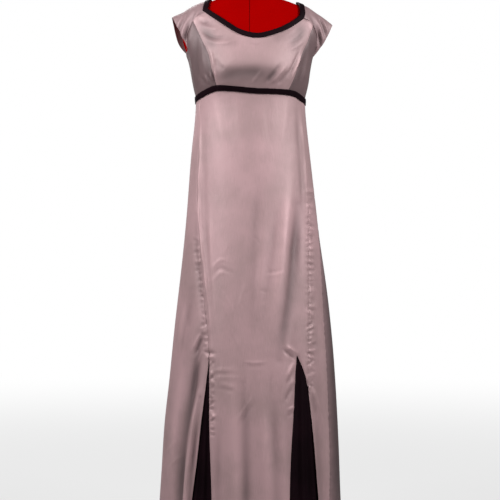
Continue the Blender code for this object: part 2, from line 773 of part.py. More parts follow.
def skirt_side_front_l():
    sheets = [
        skirt_sheet(lambda h: SIDE_SEAM + 0 * h, seam(LEFT_SEAM), rows_between(APEX, 2), COLUMNS_SIDE_FRONT),
        skirt_sheet(
            lambda h: SIDE_SEAM + 0 * h, seam(LEFT_SLIT_OUTER), rows_between(HEM, APEX), COLUMNS_SIDE_FRONT
        ),
    ]
    return wall("skirt_side_front_l", sheets, satin())


def right_side_seam(height):
    return RIGHT_SIDE_SEAM.read("angle", height)


def skirt_side_front_r():
    sheets = [
        skirt_sheet(seam(RIGHT_SEAM), right_side_seam, rows_between(TONGUE, 2), COLUMNS_SIDE_FRONT),
        skirt_sheet(seam(RIGHT_SLIT_OUTER), right_side_seam, rows_between(HEM, TONGUE), COLUMNS_SIDE_FRONT),
    ]
    return wall("skirt_side_front_r", sheets, satin())


def skirt_back(key):
    if key == "l":
        edges = (lambda h: -180.0 + 0 * h), (lambda h: SIDE_SEAM + 0 * h)
    else:
        edges = right_side_seam, (lambda h: 180.0 + 0 * h)
    sheet = skirt_sheet(*edges, SKIRT_ROWS, COLUMNS_BACK)
    return wall("skirt_back_" + key, [sheet], satin())


GODETS = {
    "l": {"inner": LEFT_SLIT_INNER, "outer": LEFT_SLIT_OUTER, "sign": -1, "folds": 4, "deepest": 0.011,
          "top": 0.515},
    "r": {"inner": RIGHT_SLIT_INNER, "outer": RIGHT_SLIT_OUTER, "sign": 1, "folds": 4, "deepest": 0.010,
          "top": 0.515},
}
GODET_MARGIN = 5.5  # degrees that a godet reaches behind the cloth on each side of its slit
GODET_GAP = 0.0009
GODET_ROWS = (HEM + 0.004, 0.10, 0.18, 0.26, 0.34, 0.41, 0.46, 0.515)


def godet(key):
    # A folded panel behind the slit, fixed to the back of the skirt along both its sides
    cut = GODETS[key]
    nominal = np.array(GODET_ROWS)
    inner = skirt_angle(cut["inner"].read("x", nominal), nominal) - cut["sign"] * GODET_MARGIN
    outer = skirt_angle(cut["outer"].read("x", nominal), nominal) + cut["sign"] * GODET_MARGIN
    share = np.linspace(0, 1, COLUMNS_GODET + 1)
    angles = inner[:, None] + (outer - inner)[:, None] * share
    heights = nominal[:, None] + 0 * angles
    fall = smooth_step((cut["top"] - heights) / (cut["top"] - 0.12))
    middle = smooth_step(np.minimum(share, 1 - share) / 0.2)
    waves = 0.5 - 0.5 * np.cos(2 * math.pi * cut["folds"] * share)
    depth = CLOTH + GODET_GAP + fall * middle * (0.25 + 0.75 * waves) * cut["deepest"]
    normals = skirt_normal(angles, heights)
    points = skirt_point(angles, heights) - normals * depth[..., None]
    return wall("godet_" + key, [(points, normals)], dark_satin(), inset=0.0)


def form_torso():
    heights = FORM.values[:, 0]
    angles = np.linspace(-180, 180, FORM_STEPS + 1)[:-1]
    grid = form_point(angles[None, :], heights[:, None])
    count, steps = grid.shape[:2]
    faces = []
    for row in range(count - 1):
        for step in range(steps):
            a, b = row * steps + step, row * steps + (step + 1) % steps
            faces.append([a, b, b + steps, a + steps])
    faces.append(list(range(steps))[::-1])
    faces.append([(count - 1) * steps + step for step in range(steps)])
    return add_object("form_torso", grid.reshape(-1, 3), faces, form_cover())


def turned(name, profile, centre_x, finish, steps=32):
    # A solid turned round an upright axis, from (radius, height) rows up its outer side
    rings = []
    for radius, height in profile:
        turn = np.linspace(0, 2 * math.pi, steps + 1)[:-1]
        rings.append(
            np.stack([centre_x + radius * np.cos(turn), radius * np.sin(turn), height + 0 * turn], axis=-1)
        )
    count = len(rings)
    faces = []
    for row in range(count - 1):
        for step in range(steps):
            a, b = row * steps + step, row * steps + (step + 1) % steps
            faces.append([a, b, b + steps, a + steps])
    faces.append(list(range(steps))[::-1])
    faces.append([(count - 1) * steps + step for step in range(steps)])
    return add_object(name, np.concatenate(rings), faces, finish)


def form_neck_cap():
    top = FORM.values[-1]
    height, radius, centre = top[0] + FIT, top[1], top[4]
    profile = [
        (radius, height),
        (radius + 0.001, height + CAP_HEIGHT * 0.25),
        (radius, height + CAP_HEIGHT * 0.7),
        (radius - 0.006, height + CAP_HEIGHT),
    ]
    return turned("form_neck_cap", profile, centre, black_enamel(), steps=FORM_STEPS)


def form_pole():
    profile = [(POLE_RADIUS, BASE_HEIGHT + FIT), (POLE_RADIUS, FORM.values[0, 0] - FIT)]
    return turned("form_pole", profile, 0.0, steel(), steps=20)


def form_base():
    profile = [
        (BASE_RADIUS - 0.002, 0.0),
        (BASE_RADIUS, 0.002),
        (BASE_RADIUS, BASE_HEIGHT - 0.005),
        (BASE_RADIUS - 0.004, BASE_HEIGHT - 0.001),
        (BASE_RADIUS - 0.010, BASE_HEIGHT),
    ]
    return turned("form_base", profile, 0.0, black_enamel())


def main():
    for thing in list(bpy.data.objects):
        bpy.data.objects.remove(thing, do_unlink=True)
    bodice_front()
    for key in SIDES:
        bodice_side_front(key)
        bodice_back(key)
        sleeve(key)
        skirt_back(key)
        godet(key)
    neck_binding()
    under_bust_band()
    skirt_front()
    skirt_side_front_l()
    skirt_side_front_r()
    form_torso()
    form_neck_cap()
    form_pole()
    form_base()


main()
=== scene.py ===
import math
import random

import bmesh
import bpy
import numpy as np
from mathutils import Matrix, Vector
from mathutils.kdtree import KDTree


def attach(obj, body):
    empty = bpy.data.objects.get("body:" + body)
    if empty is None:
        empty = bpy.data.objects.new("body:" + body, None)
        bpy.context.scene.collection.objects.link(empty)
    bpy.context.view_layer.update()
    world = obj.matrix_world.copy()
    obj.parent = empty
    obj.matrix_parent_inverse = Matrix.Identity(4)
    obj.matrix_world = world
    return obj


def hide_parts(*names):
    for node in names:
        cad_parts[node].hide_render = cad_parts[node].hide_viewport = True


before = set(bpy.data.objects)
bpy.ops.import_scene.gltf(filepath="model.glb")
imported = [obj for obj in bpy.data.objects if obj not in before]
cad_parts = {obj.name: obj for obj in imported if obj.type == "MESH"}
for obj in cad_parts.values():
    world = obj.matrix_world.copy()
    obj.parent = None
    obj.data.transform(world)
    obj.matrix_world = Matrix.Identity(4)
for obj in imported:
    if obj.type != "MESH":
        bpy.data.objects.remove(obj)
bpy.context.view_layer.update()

# The front of the gown faces -Y, _l is the -X side. Angles run round the figure in degrees,
# 0 at the front and 90 at +X. Creases are in millimetres.

cameraValues = {"distance": 3.7, "height": 0.7538, "aside": -0.0052, "lens": 102.46}


def makeCamera():
    data = bpy.data.cameras.new("frontCamera")
    data.lens = cameraValues["lens"]
    data.sensor_width = 36
    data.clip_end = 60
    camera = bpy.data.objects.new("frontCamera", data)
    camera.location = (cameraValues["aside"], -cameraValues["distance"], cameraValues["height"])
    camera.rotation_euler = (math.pi / 2, 0, 0)
    bpy.context.scene.collection.objects.link(camera)
    bpy.context.scene.camera = camera


makeCamera()
bpy.context.scene.view_settings.view_transform = "Standard"
print("camera set")


# Node materials
def newMaterial(name):
    made = bpy.data.materials.new(name)
    made.use_nodes = True
    tree = made.node_tree
    shader = tree.nodes["Principled BSDF"]
    return made, tree, shader


def addNode(tree, kind, place, **sockets):
    node = tree.nodes.new(kind)
    node.location = place
    for key, value in sockets.items():
        node.inputs[key.replace("_", " ")].default_value = value
    return node


def mixColours(tree, place, factor, first, second):
    node = tree.nodes.new("ShaderNodeMix")
    node.data_type = "RGBA"
    node.location = place
    node.inputs["A"].default_value = (*first, 1) if len(first) == 3 else first
    node.inputs["B"].default_value = (*second, 1) if len(second) == 3 else second
    tree.links.new(factor, node.inputs["Factor"])
    return node


def addBump(tree, place, height, strength, distance, before=None):
    node = addNode(tree, "ShaderNodeBump", place, Strength=strength, Distance=distance)
    tree.links.new(height, node.inputs["Height"])
    if before:
        tree.links.new(before, node.inputs["Normal"])
    return node.outputs["Normal"]


def scaled(tree, place, source, scale, turn=0.0):
    node = addNode(tree, "ShaderNodeMapping", place, Scale=scale, Rotation=(0, 0, turn))
    tree.links.new(source, node.inputs["Vector"])
    return node.outputs["Vector"]


# Satin: fine weft-faced weave, soft sheen, faint slubs and a rumple from wear
satinValues = {
    "mauveSatin": {
        "colour": (0.425, 0.268, 0.281), "shade": (0.345, 0.225, 0.230),
        "roughness": 0.56, "gloss": 0.5, "lustre": 0.17,
        "sheen": 0.12, "sheenTint": (1.0, 0.90, 0.90), "rumple": 0.0012, "fine": 0.00016,
    },
    # a darker copy of the mauve satin: painted shade, for the sleeves and the backs
    "shadedSatin": {
        "colour": (0.285, 0.180, 0.190), "shade": (0.230, 0.147, 0.153),
        "roughness": 0.56, "gloss": 0.5, "lustre": 0.17,
        "sheen": 0.12, "sheenTint": (1.0, 0.90, 0.90), "rumple": 0.0012, "fine": 0.00016,
    },
    # a darker copy still: painted shade, for the bodice side fronts
    "deepShadedSatin": {
        "colour": (0.150, 0.094, 0.098), "shade": (0.115, 0.073, 0.076),
        "roughness": 0.56, "gloss": 0.5, "lustre": 0.17,
        "sheen": 0.12, "sheenTint": (1.0, 0.90, 0.90), "rumple": 0.0010, "fine": 0.00016,
    },
    "aubergineSatin": {
        "colour": (0.0080, 0.0022, 0.0042), "shade": (0.0045, 0.0012, 0.0024),
        "roughness": 0.60, "gloss": 0.05, "lustre": 0.0,
        "sheen": 0.01, "sheenTint": (0.85, 0.45, 0.60), "rumple": 0.0005, "fine": 0.00010,
    },
}
threadPitch = 0.00042
# Painted shade darkens the cloth in crease hollows and a painted highlight brightens it on ridges, by these
# shares
foldShading = {"hollow": 0.62, "ridge": 0.24}


def makeSatin(name):
    values = satinValues[name]
    made, tree, shader = newMaterial(name)
    links = tree.links
    weaveMap = tree.nodes.new("ShaderNodeUVMap")
    weaveMap.uv_map = "cloth"
    weaveMap.location = (-1500, 100)
    coordinates = addNode(tree, "ShaderNodeTexCoord", (-1500, -300))
    flat, solid = weaveMap.outputs["UV"], coordinates.outputs["Object"]

    # threads both ways, the weft lying over the warp
    warp = addNode(tree, "ShaderNodeTexWave", (-1000, 300), Scale=1 / threadPitch / 20, Distortion=0.6)
    warp.bands_direction = "X"
    weft = addNode(tree, "ShaderNodeTexWave", (-1000, 0), Scale=1 / threadPitch / 20, Distortion=0.6)
    weft.bands_direction = "Y"
    links.new(scaled(tree, (-1250, 300), flat, (3.14, 3.14, 1)), warp.inputs["Vector"])
    links.new(scaled(tree, (-1250, 0), flat, (3.14, 3.14, 1)), weft.inputs["Vector"])
    threads = tree.nodes.new("ShaderNodeMath")
    threads.operation = "MULTIPLY_ADD"
    threads.location = (-750, 200)
    threads.inputs[1].default_value = 0.35
    links.new(warp.outputs["Fac"], threads.inputs[0])
    links.new(weft.outputs["Fac"], threads.inputs[2])

    # slubs: long thin streaks along the threads, in colour and in gloss
    slubs = addNode(tree, "ShaderNodeTexNoise", (-1000, -250), Scale=1.0, Detail=3.0, Roughness=0.6)
    links.new(scaled(tree, (-1250, -250), flat, (900, 35, 1)), slubs.inputs["Vector"])
    clouds = addNode(tree, "ShaderNodeTexNoise", (-1000, -500), Scale=7.0, Detail=4.0, Roughness=0.55)
    links.new(solid, clouds.inputs["Vector"])
    blend = tree.nodes.new("ShaderNodeMath")
    blend.operation = "MULTIPLY_ADD"
    blend.location = (-750, -300)
    blend.inputs[1].default_value = 0.45
    links.new(slubs.outputs["Fac"], blend.inputs[0])
    links.new(clouds.outputs["Fac"], blend.inputs[2])
    tone = tree.nodes.new("ShaderNodeMapRange")
    tone.location = (-550, -300)
    tone.inputs["From Min"].default_value = 0.62
    tone.inputs["From Max"].default_value = 0.84
    links.new(blend.outputs[0], tone.inputs["Value"])
    colour = mixColours(tree, (-300, 200), tone.outputs["Result"], values["shade"], values["colour"])
    # painted shade makes the cloth duller down in a crease, and a painted highlight makes it a little brighter
    # along a ridge
    paintedShading = tree.nodes.new("ShaderNodeAttribute")
    paintedShading.attribute_name = "paintedShading"
    paintedShading.location = (-1000, 600)
    hollow = addNode(tree, "ShaderNodeMapRange", (-750, 700))
    ridge = addNode(tree, "ShaderNodeMapRange", (-750, 450))
    for node, low, high, first, last in (
            (hollow, -8, 0, 1 - foldShading["hollow"], 1),
            (ridge, 0, 5, 1, 1 + foldShading["ridge"])):
        node.inputs["From Min"].default_value = low
        node.inputs["From Max"].default_value = high
        node.inputs["To Min"].default_value = first
        node.inputs["To Max"].default_value = last
        links.new(paintedShading.outputs["Fac"], node.inputs["Value"])
    both = tree.nodes.new("ShaderNodeMath")
    both.operation = "MULTIPLY"
    both.location = (-500, 600)
    links.new(hollow.outputs["Result"], both.inputs[0])
    links.new(ridge.outputs["Result"], both.inputs[1])
    toned = tree.nodes.new("ShaderNodeVectorMath")
    toned.operation = "SCALE"
    toned.location = (-150, 350)
    links.new(colour.outputs["Result"], toned.inputs[0])
    links.new(both.outputs[0], toned.inputs["Scale"])
    links.new(toned.outputs["Vector"], shader.inputs["Base Color"])
    gloss = tree.nodes.new("ShaderNodeMapRange")
    gloss.location = (-300, -150)
    gloss.inputs["To Min"].default_value = values["roughness"] - 0.05
    gloss.inputs["To Max"].default_value = values["roughness"] + 0.06
    links.new(slubs.outputs["Fac"], gloss.inputs["Value"])
    links.new(gloss.outputs["Result"], shader.inputs["Roughness"])

    # rumple: shallow creases from folding and wear, drawn out down the cloth
    rumple = addNode(tree, "ShaderNodeTexNoise", (-1000, -750), Scale=1.0, Detail=3.0, Distortion=0.8)
    links.new(scaled(tree, (-1250, -750), solid, (26, 26, 13)), rumple.inputs["Vector"])
    fine = addNode(tree, "ShaderNodeTexNoise", (-1000, -1000), Scale=120.0, Detail=3.0, Distortion=0.4)
    links.new(solid, fine.inputs["Vector"])
    large = addBump(tree, (-300, -500), rumple.outputs["Fac"], 1.0, values["rumple"])
    small = addBump(tree, (-100, -500), fine.outputs["Fac"], 0.8, values["fine"], large)
    woven = addBump(tree, (100, -500), threads.outputs[0], 0.5, 0.00003, small)
    links.new(woven, shader.inputs["Normal"])
    shader.inputs["Specular IOR Level"].default_value = values["gloss"]
    shader.inputs["Metallic"].default_value = values["lustre"]
    shader.inputs["Sheen Weight"].default_value = values["sheen"]
    shader.inputs["Sheen Roughness"].default_value = 0.35
    shader.inputs["Sheen Tint"].default_value = (*values["sheenTint"], 1)
    return made


jerseyValues = {"colour": (0.270, 0.0002, 0.0002), "shade": (0.225, 0.0002, 0.0002), "seam": (0.045, 0.001,
                                                                                              0.001),
                "seamPlace": -0.0065, "seamWidth": 0.0009}


def makeJersey():
    # Cotton jersey in fine vertical ribs, with a sewn seam down the middle
    made, tree, shader = newMaterial("redJersey")
    links = tree.links
    place = addNode(tree, "ShaderNodeTexCoord", (-1500, 0)).outputs["Object"]
    knit = addNode(tree, "ShaderNodeTexVoronoi", (-1000, 0), Scale=1.0)
    links.new(scaled(tree, (-1250, 0), place, (1100, 1100, 800)), knit.inputs["Vector"])
    clouds = addNode(tree, "ShaderNodeTexNoise", (-1000, -300), Scale=18.0, Detail=4.0)
    links.new(place, clouds.inputs["Vector"])
    colour = mixColours(tree, (-600, 100), clouds.outputs["Fac"], jerseyValues["shade"],
                        jerseyValues["colour"])
    apart = tree.nodes.new("ShaderNodeSeparateXYZ")
    apart.location = (-1250, 300)
    links.new(place, apart.inputs["Vector"])
    away = tree.nodes.new("ShaderNodeMath")
    away.operation = "SUBTRACT"
    away.location = (-1050, 300)
    away.inputs[1].default_value = jerseyValues["seamPlace"]
    links.new(apart.outputs["X"], away.inputs[0])
    distance = tree.nodes.new("ShaderNodeMath")
    distance.operation = "ABSOLUTE"
    distance.location = (-850, 300)
    links.new(away.outputs[0], distance.inputs[0])
    line = tree.nodes.new("ShaderNodeMapRange")
    line.location = (-650, 300)
    line.interpolation_type = "SMOOTHSTEP"
    line.inputs["From Min"].default_value = 0.0003
    line.inputs["From Max"].default_value = jerseyValues["seamWidth"] * 1.4
    line.inputs["To Min"].default_value = 1.0
    line.inputs["To Max"].default_value = 0.0
    links.new(distance.outputs[0], line.inputs["Value"])
    sewn = mixColours(tree, (-300, 200), line.outputs["Result"], jerseyValues["colour"], jerseyValues["seam"])
    links.new(colour.outputs["Result"], sewn.inputs["A"])
    links.new(sewn.outputs["Result"], shader.inputs["Base Color"])
    groove = tree.nodes.new("ShaderNodeMath")
    groove.operation = "MULTIPLY_ADD"
    groove.location = (-500, -200)
    groove.inputs[1].default_value = -4.0
    links.new(line.outputs["Result"], groove.inputs[0])
    links.new(knit.outputs["Distance"], groove.inputs[2])
    links.new(addBump(tree, (-250, -300), groove.outputs[0], 0.6, 0.00012), shader.inputs["Normal"])
    shader.inputs["Roughness"].default_value = 0.85
    shader.inputs["Specular IOR Level"].default_value = 0.0
    shader.inputs["Sheen Weight"].default_value = 0.003
    shader.inputs["Sheen Tint"].default_value = (1.0, 0.45, 0.42, 1)
    return made


def makeSteel():
    # Brushed steel tube, its brush marks running round
    made, tree, shader = newMaterial("brushedSteel")
    place = addNode(tree, "ShaderNodeTexCoord", (-1200, 0)).outputs["Object"]
    marks = addNode(tree, "ShaderNodeTexNoise", (-800, 0), Scale=1.0, Detail=4.0, Roughness=0.7)
    tree.links.new(scaled(tree, (-1000, 0), place, (40, 40, 2500)), marks.inputs["Vector"])
    colour = mixColours(tree, (-400, 200), marks.outputs["Fac"], (0.46, 0.46, 0.47), (0.62, 0.62, 0.63))
    tree.links.new(colour.outputs["Result"], shader.inputs["Base Color"])
    gloss = addNode(tree, "ShaderNodeMapRange", (-400, -100))
    gloss.inputs["To Min"].default_value = 0.25
    gloss.inputs["To Max"].default_value = 0.45
    tree.links.new(marks.outputs["Fac"], gloss.inputs["Value"])
    tree.links.new(gloss.outputs["Result"], shader.inputs["Roughness"])
    tree.links.new(addBump(tree, (-400, -350), marks.outputs["Fac"], 0.3, 0.00002), shader.inputs["Normal"])
    shader.inputs["Metallic"].default_value = 1.0
    return made


def makeEnamel():
    # Black stove enamel with a faint orange peel and dull scuffs
    made, tree, shader = newMaterial("blackEnamel")
    place = addNode(tree, "ShaderNodeTexCoord", (-1200, 0)).outputs["Object"]
    peel = addNode(tree, "ShaderNodeTexNoise", (-800, -200), Scale=700.0, Detail=2.0)
    scuffs = addNode(tree, "ShaderNodeTexNoise", (-800, 100), Scale=22.0, Detail=6.0, Roughness=0.7)
    tree.links.new(place, peel.inputs["Vector"])
    tree.links.new(place, scuffs.inputs["Vector"])
    colour = mixColours(tree, (-400, 200), scuffs.outputs["Fac"], (0.012, 0.012, 0.013), (0.030, 0.030,
                                                                                          0.032))
    tree.links.new(colour.outputs["Result"], shader.inputs["Base Color"])
    gloss = addNode(tree, "ShaderNodeMapRange", (-400, -50))
    gloss.inputs["To Min"].default_value = 0.28
    gloss.inputs["To Max"].default_value = 0.50
    tree.links.new(scuffs.outputs["Fac"], gloss.inputs["Value"])
    tree.links.new(gloss.outputs["Result"], shader.inputs["Roughness"])
    tree.links.new(addBump(tree, (-400, -300), peel.outputs["Fac"], 0.25, 0.00004), shader.inputs["Normal"])
    return made


mauveSatin = makeSatin("mauveSatin")
shadedSatin = makeSatin("shadedSatin")
deepShadedSatin = makeSatin("deepShadedSatin")
aubergineSatin = makeSatin("aubergineSatin")
redJersey = makeJersey()
brushedSteel = makeSteel()
blackEnamel = makeEnamel()
print("materials made")


# Creases of the skirt as seen from the front: depth, half width, points (aside, height).
# A ridge is positive, a trough negative.
skirtFrontCreases = [
    # highlights and hollows beside the two long seams
    (3.8, 3.0, [(-137, 1133), (-136, 1071), (-135, 993), (-138, 907), (-139, 853), (-134, 793), (-126, 723),
                (-114, 626), (-109, 572), (-106, 496)]),
    (-0.7, 5, [(-123, 1092), (-123, 884), (-118, 754), (-103, 624), (-98, 533)]),
    (1.5, 6, [(-110, 884), (-108, 780), (-103, 663), (-98, 525)]),
    (-2.4, 6, [(-146, 845), (-147, 762), (-135, 650), (-127, 559)]),
    (2.4, 3.4, [(124, 1128), (130, 1066), (136, 1024), (139, 959), (145, 892), (146, 853)]),
    (-1.8, 5, [(117, 1113), (123, 1014), (129, 923), (133, 845)]),
    # the long ridge and valley right of the middle
    (4.2, 15, [(107, 1014), (99, 907), (86, 793), (70, 660), (55, 572), (42, 494)]),
    (-7.0, 14, [(120, 871), (110, 743), (100, 637), (88, 559), (72, 468)]),
    (-1.6, 9, [(62, 845), (52, 741), (36, 624)]),
    (1.5, 9, [(36, 845), (26, 723), (16, 598)]),
    (-1.8, 11, [(18, 936), (5, 801), (4, 660), (0, 533)]),
    # top of the right slit
    (3.0, 3.8, [(91, 503), (101, 496), (116, 485)]),
    (-2.6, 4, [(83, 494), (96, 482), (113, 469)]),
    (2.6, 5, [(114, 463), (101, 447), (91, 421)]),
    (-2.0, 4.5, [(112, 439), (99, 424), (91, 403)]),
    (2.4, 4, [(112, 417), (101, 405)]),
    (-1.8, 5, [(109, 400), (94, 379), (86, 356)]),
    (2.0, 3.6, [(112, 347), (94, 338)]),
    (-1.4, 4, [(110, 333), (91, 321)]),
    # over the left slit
    (-2.4, 3.6, [(-125, 490), (-112, 486), (-96, 486)]),
    (1.8, 3.8, [(-120, 474), (-99, 476)]),
    # small sharp creases left by folding
    (0.9, 3.2, [(-104, 697), (-94, 721), (-78, 730), (-60, 725)]),
    (-0.9, 3.6, [(-101, 686), (-86, 710), (-62, 699), (-42, 694)]),
    (0.8, 3.2, [(-99, 673), (-83, 698), (-68, 691)]),
    (-0.7, 3.2, [(3, 790), (16, 780), (23, 767)]),
    (-0.7, 3.4, [(36, 695), (60, 697), (83, 704)]),
    (0.7, 3.4, [(36, 686), (60, 688), (83, 694)]),
    (-0.7, 3.2, [(16, 650), (31, 647), (44, 643)]),
    (0.9, 3.2, [(-110, 438), (-78, 442), (-42, 439)]),
    (-0.8, 3.6, [(-107, 429), (-73, 433), (-36, 430)]),
    (0.8, 3.2, [(-99, 422), (-62, 424), (-26, 420)]),
    (1.0, 3.2, [(-86, 404), (-62, 402), (-39, 394)]),
    (-0.8, 3.6, [(-88, 395), (-65, 391), (-44, 385)]),
    (0.8, 3.2, [(-23, 464), (5, 460), (36, 463)]),
    (-0.7, 3.6, [(-21, 455), (10, 451), (36, 454)]),
    (0.8, 3.6, [(-77, 457), (-84, 426), (-90, 398)]),
    (0.9, 3.6, [(-39, 304), (-26, 333), (3, 374)]),
    (-0.7, 4, [(-29, 299), (-13, 330), (13, 366)]),
    (0.7, 4, [(-8, 429), (-13, 385), (-16, 343)]),
    (-0.7, 4, [(52, 437), (47, 395), (44, 359)]),
    (0.7, 3.6, [(36, 273), (29, 229), (26, 182)]),
    (0.6, 3.6, [(-78, 645), (-57, 616), (-44, 582)]),
    (-0.6, 4, [(-62, 546), (-42, 512), (-31, 478)]),
    (0.7, 4, [(-16, 671), (-29, 626), (-36, 593)]),
    # soft folds falling to the hem
    (4.0, 15, [(-49, 437), (-46, 338), (-42, 234), (-39, 104), (-39, 13)]),
    (-5.0, 13, [(-21, 403), (-18, 286), (-18, 156), (-16, 13)]),
    (-2.0, 9, [(-86, 312), (-90, 208), (-91, 13)]),
    (2.6, 12, [(26, 377), (36, 260), (42, 130), (42, 13)]),
    (-2.6, 11, [(55, 351), (62, 234), (65, 13)]),
    (2.4, 9, [(83, 299), (88, 156), (91, 13)]),
    # side panel on the left
    (-9.0, 11, [(-133, 533), (-146, 455), (-156, 385), (-172, 299), (-182, 234), (-190, 130), (-195, 13)]),
    (5.5, 6.5, [(-140, 385), (-151, 325), (-162, 247), (-172, 156), (-177, 78), (-179, 13)]),
    (-5.0, 5.5, [(-135, 369), (-146, 286), (-153, 221), (-160, 156), (-164, 13)]),
    (4.0, 11, [(-169, 546), (-187, 390), (-202, 260), (-208, 104), (-211, 13)]),
    (-2.4, 9, [(-159, 650), (-169, 533), (-182, 421)]),
    (2.4, 4, [(-130, 543), (-143, 522), (-156, 491)]),
    (-2.6, 4, [(-127, 530), (-138, 509), (-150, 481)]),
    (2.4, 4, [(-127, 496), (-138, 473), (-146, 452)]),
    (1.6, 4, [(-172, 624), (-185, 554), (-195, 478)]),
    (-1.5, 4, [(-164, 608), (-177, 546), (-187, 476)]),
    (1.2, 4, [(-192, 260), (-208, 242), (-224, 229)]),
    (1.1, 4, [(-187, 221), (-200, 203), (-218, 182)]),
    # side panel on the right
    (2.0, 5, [(160, 395), (166, 369), (174, 338)]),
    (-1.8, 5, [(157, 379), (161, 353), (169, 322)]),
    (2.6, 10, [(174, 624), (182, 494), (190, 338), (195, 182), (198, 13)]),
    (-2.2, 9, [(161, 364), (172, 260), (177, 156), (182, 13)]),
    # soft drags under the band
    (0.8, 9, [(-99, 1154), (-88, 1097), (-73, 1024)]),
    (0.8, 10, [(-42, 1149), (-31, 1071), (-23, 975)]),
    (0.7, 10, [(26, 1149), (26, 1066), (18, 962)]),
    (0.9, 9, [(91, 1152), (86, 1092), (75, 1014)]),
]

# The same round the sides and back: depth, half width, points (angle in degrees, height)
skirtRoundCreases = [
    (1.6, 10, [(-100, 1040), (-103, 900), (-106, 700), (-108, 480)]),
    (-1.6, 10, [(-112, 1000), (-114, 860), (-117, 640)]),
    (1.8, 11, [(-128, 1080), (-130, 900), (-133, 620), (-134, 300)]),
    (-1.4, 9, [(-138, 1100), (-139, 980), (-141, 800)]),
    (1.4, 8, [(-150, 1110), (-151, 1010), (-153, 860), (-154, 640)]),
    (-1.6, 9, [(-160, 1100), (-161, 940), (-163, 700)]),
    (1.3, 8, [(-171, 1110), (-172, 980), (-173, 800)]),
    (1.4, 9, [(170, 1100), (169, 960), (166, 720), (166, 420)]),
    (-1.5, 9, [(160, 1080), (159, 900), (156, 640)]),
    (1.7, 10, [(147, 1100), (146, 960), (144, 700), (144, 380)]),
    (-1.3, 8, [(137, 1090), (136, 980), (134, 820)]),
    (1.5, 9, [(124, 1080), (123, 900), (121, 640), (120, 330)]),
    (-1.5, 9, [(113, 1050), (111, 860), (108, 600)]),
    (1.4, 8, [(101, 1060), (98, 900), (93, 700), (90, 420)]),
    (0.9, 4, [(-150, 520), (-143, 532), (-137, 528)]),
    (-0.8, 4, [(-149, 512), (-143, 523), (-138, 519)]),
    (0.9, 4, [(133, 640), (141, 651), (149, 645)]),
    (0.9, 4, [(-118, 760), (-113, 742), (-110, 720)]),
    (0.8, 4, [(158, 380), (166, 391), (172, 386)]),
    (0.9, 4, [(104, 500), (110, 515), (117, 511)]),
    # soft folds falling to the hem
    (3.4, 14, [(-107, 420), (-109, 250), (-110, 90), (-110, -90)]),
    (-4.4, 13, [(-120, 540), (-123, 330), (-125, 120), (-125, -150)]),
    (3.8, 12, [(-132, 400), (-135, 240), (-136, 80), (-136, -90)]),
    (-3.2, 12, [(-146, 610), (-149, 390), (-151, 150), (-151, -170)]),
    (3.6, 15, [(-160, 450), (-163, 280), (-164, 90), (-164, -110)]),
    (-3.0, 10, [(-172, 360), (-173, 200), (-173, -90)]),
    (-4.2, 14, [(168, 570), (166, 340), (165, 110), (165, -150)]),
    (3.2, 12, [(154, 380), (152, 210), (151, 60), (151, -100)]),
    (-4.6, 13, [(138, 640), (135, 400), (133, 150), (133, -190)]),
    (3.6, 13, [(122, 470), (119, 290), (118, 90), (118, -120)]),
    (-3.0, 11, [(106, 390), (104, 240), (103, 70), (103, -90)]),
    # drags under the band
    (1.6, 8, [(-157, 1135), (-158, 1080), (-161, 1000)]),
    (-1.3, 8, [(-142, 1138), (-143, 1090), (-146, 1020)]),
    (1.5, 8, [(-118, 1130), (-119, 1060), (-122, 960)]),
    (1.7, 9, [(156, 1135), (156, 1070), (153, 975)]),
    (-1.4, 8, [(167, 1138), (167, 1085), (165, 1010)]),
    (1.4, 8, [(117, 1130), (117, 1070), (115, 990)]),
]

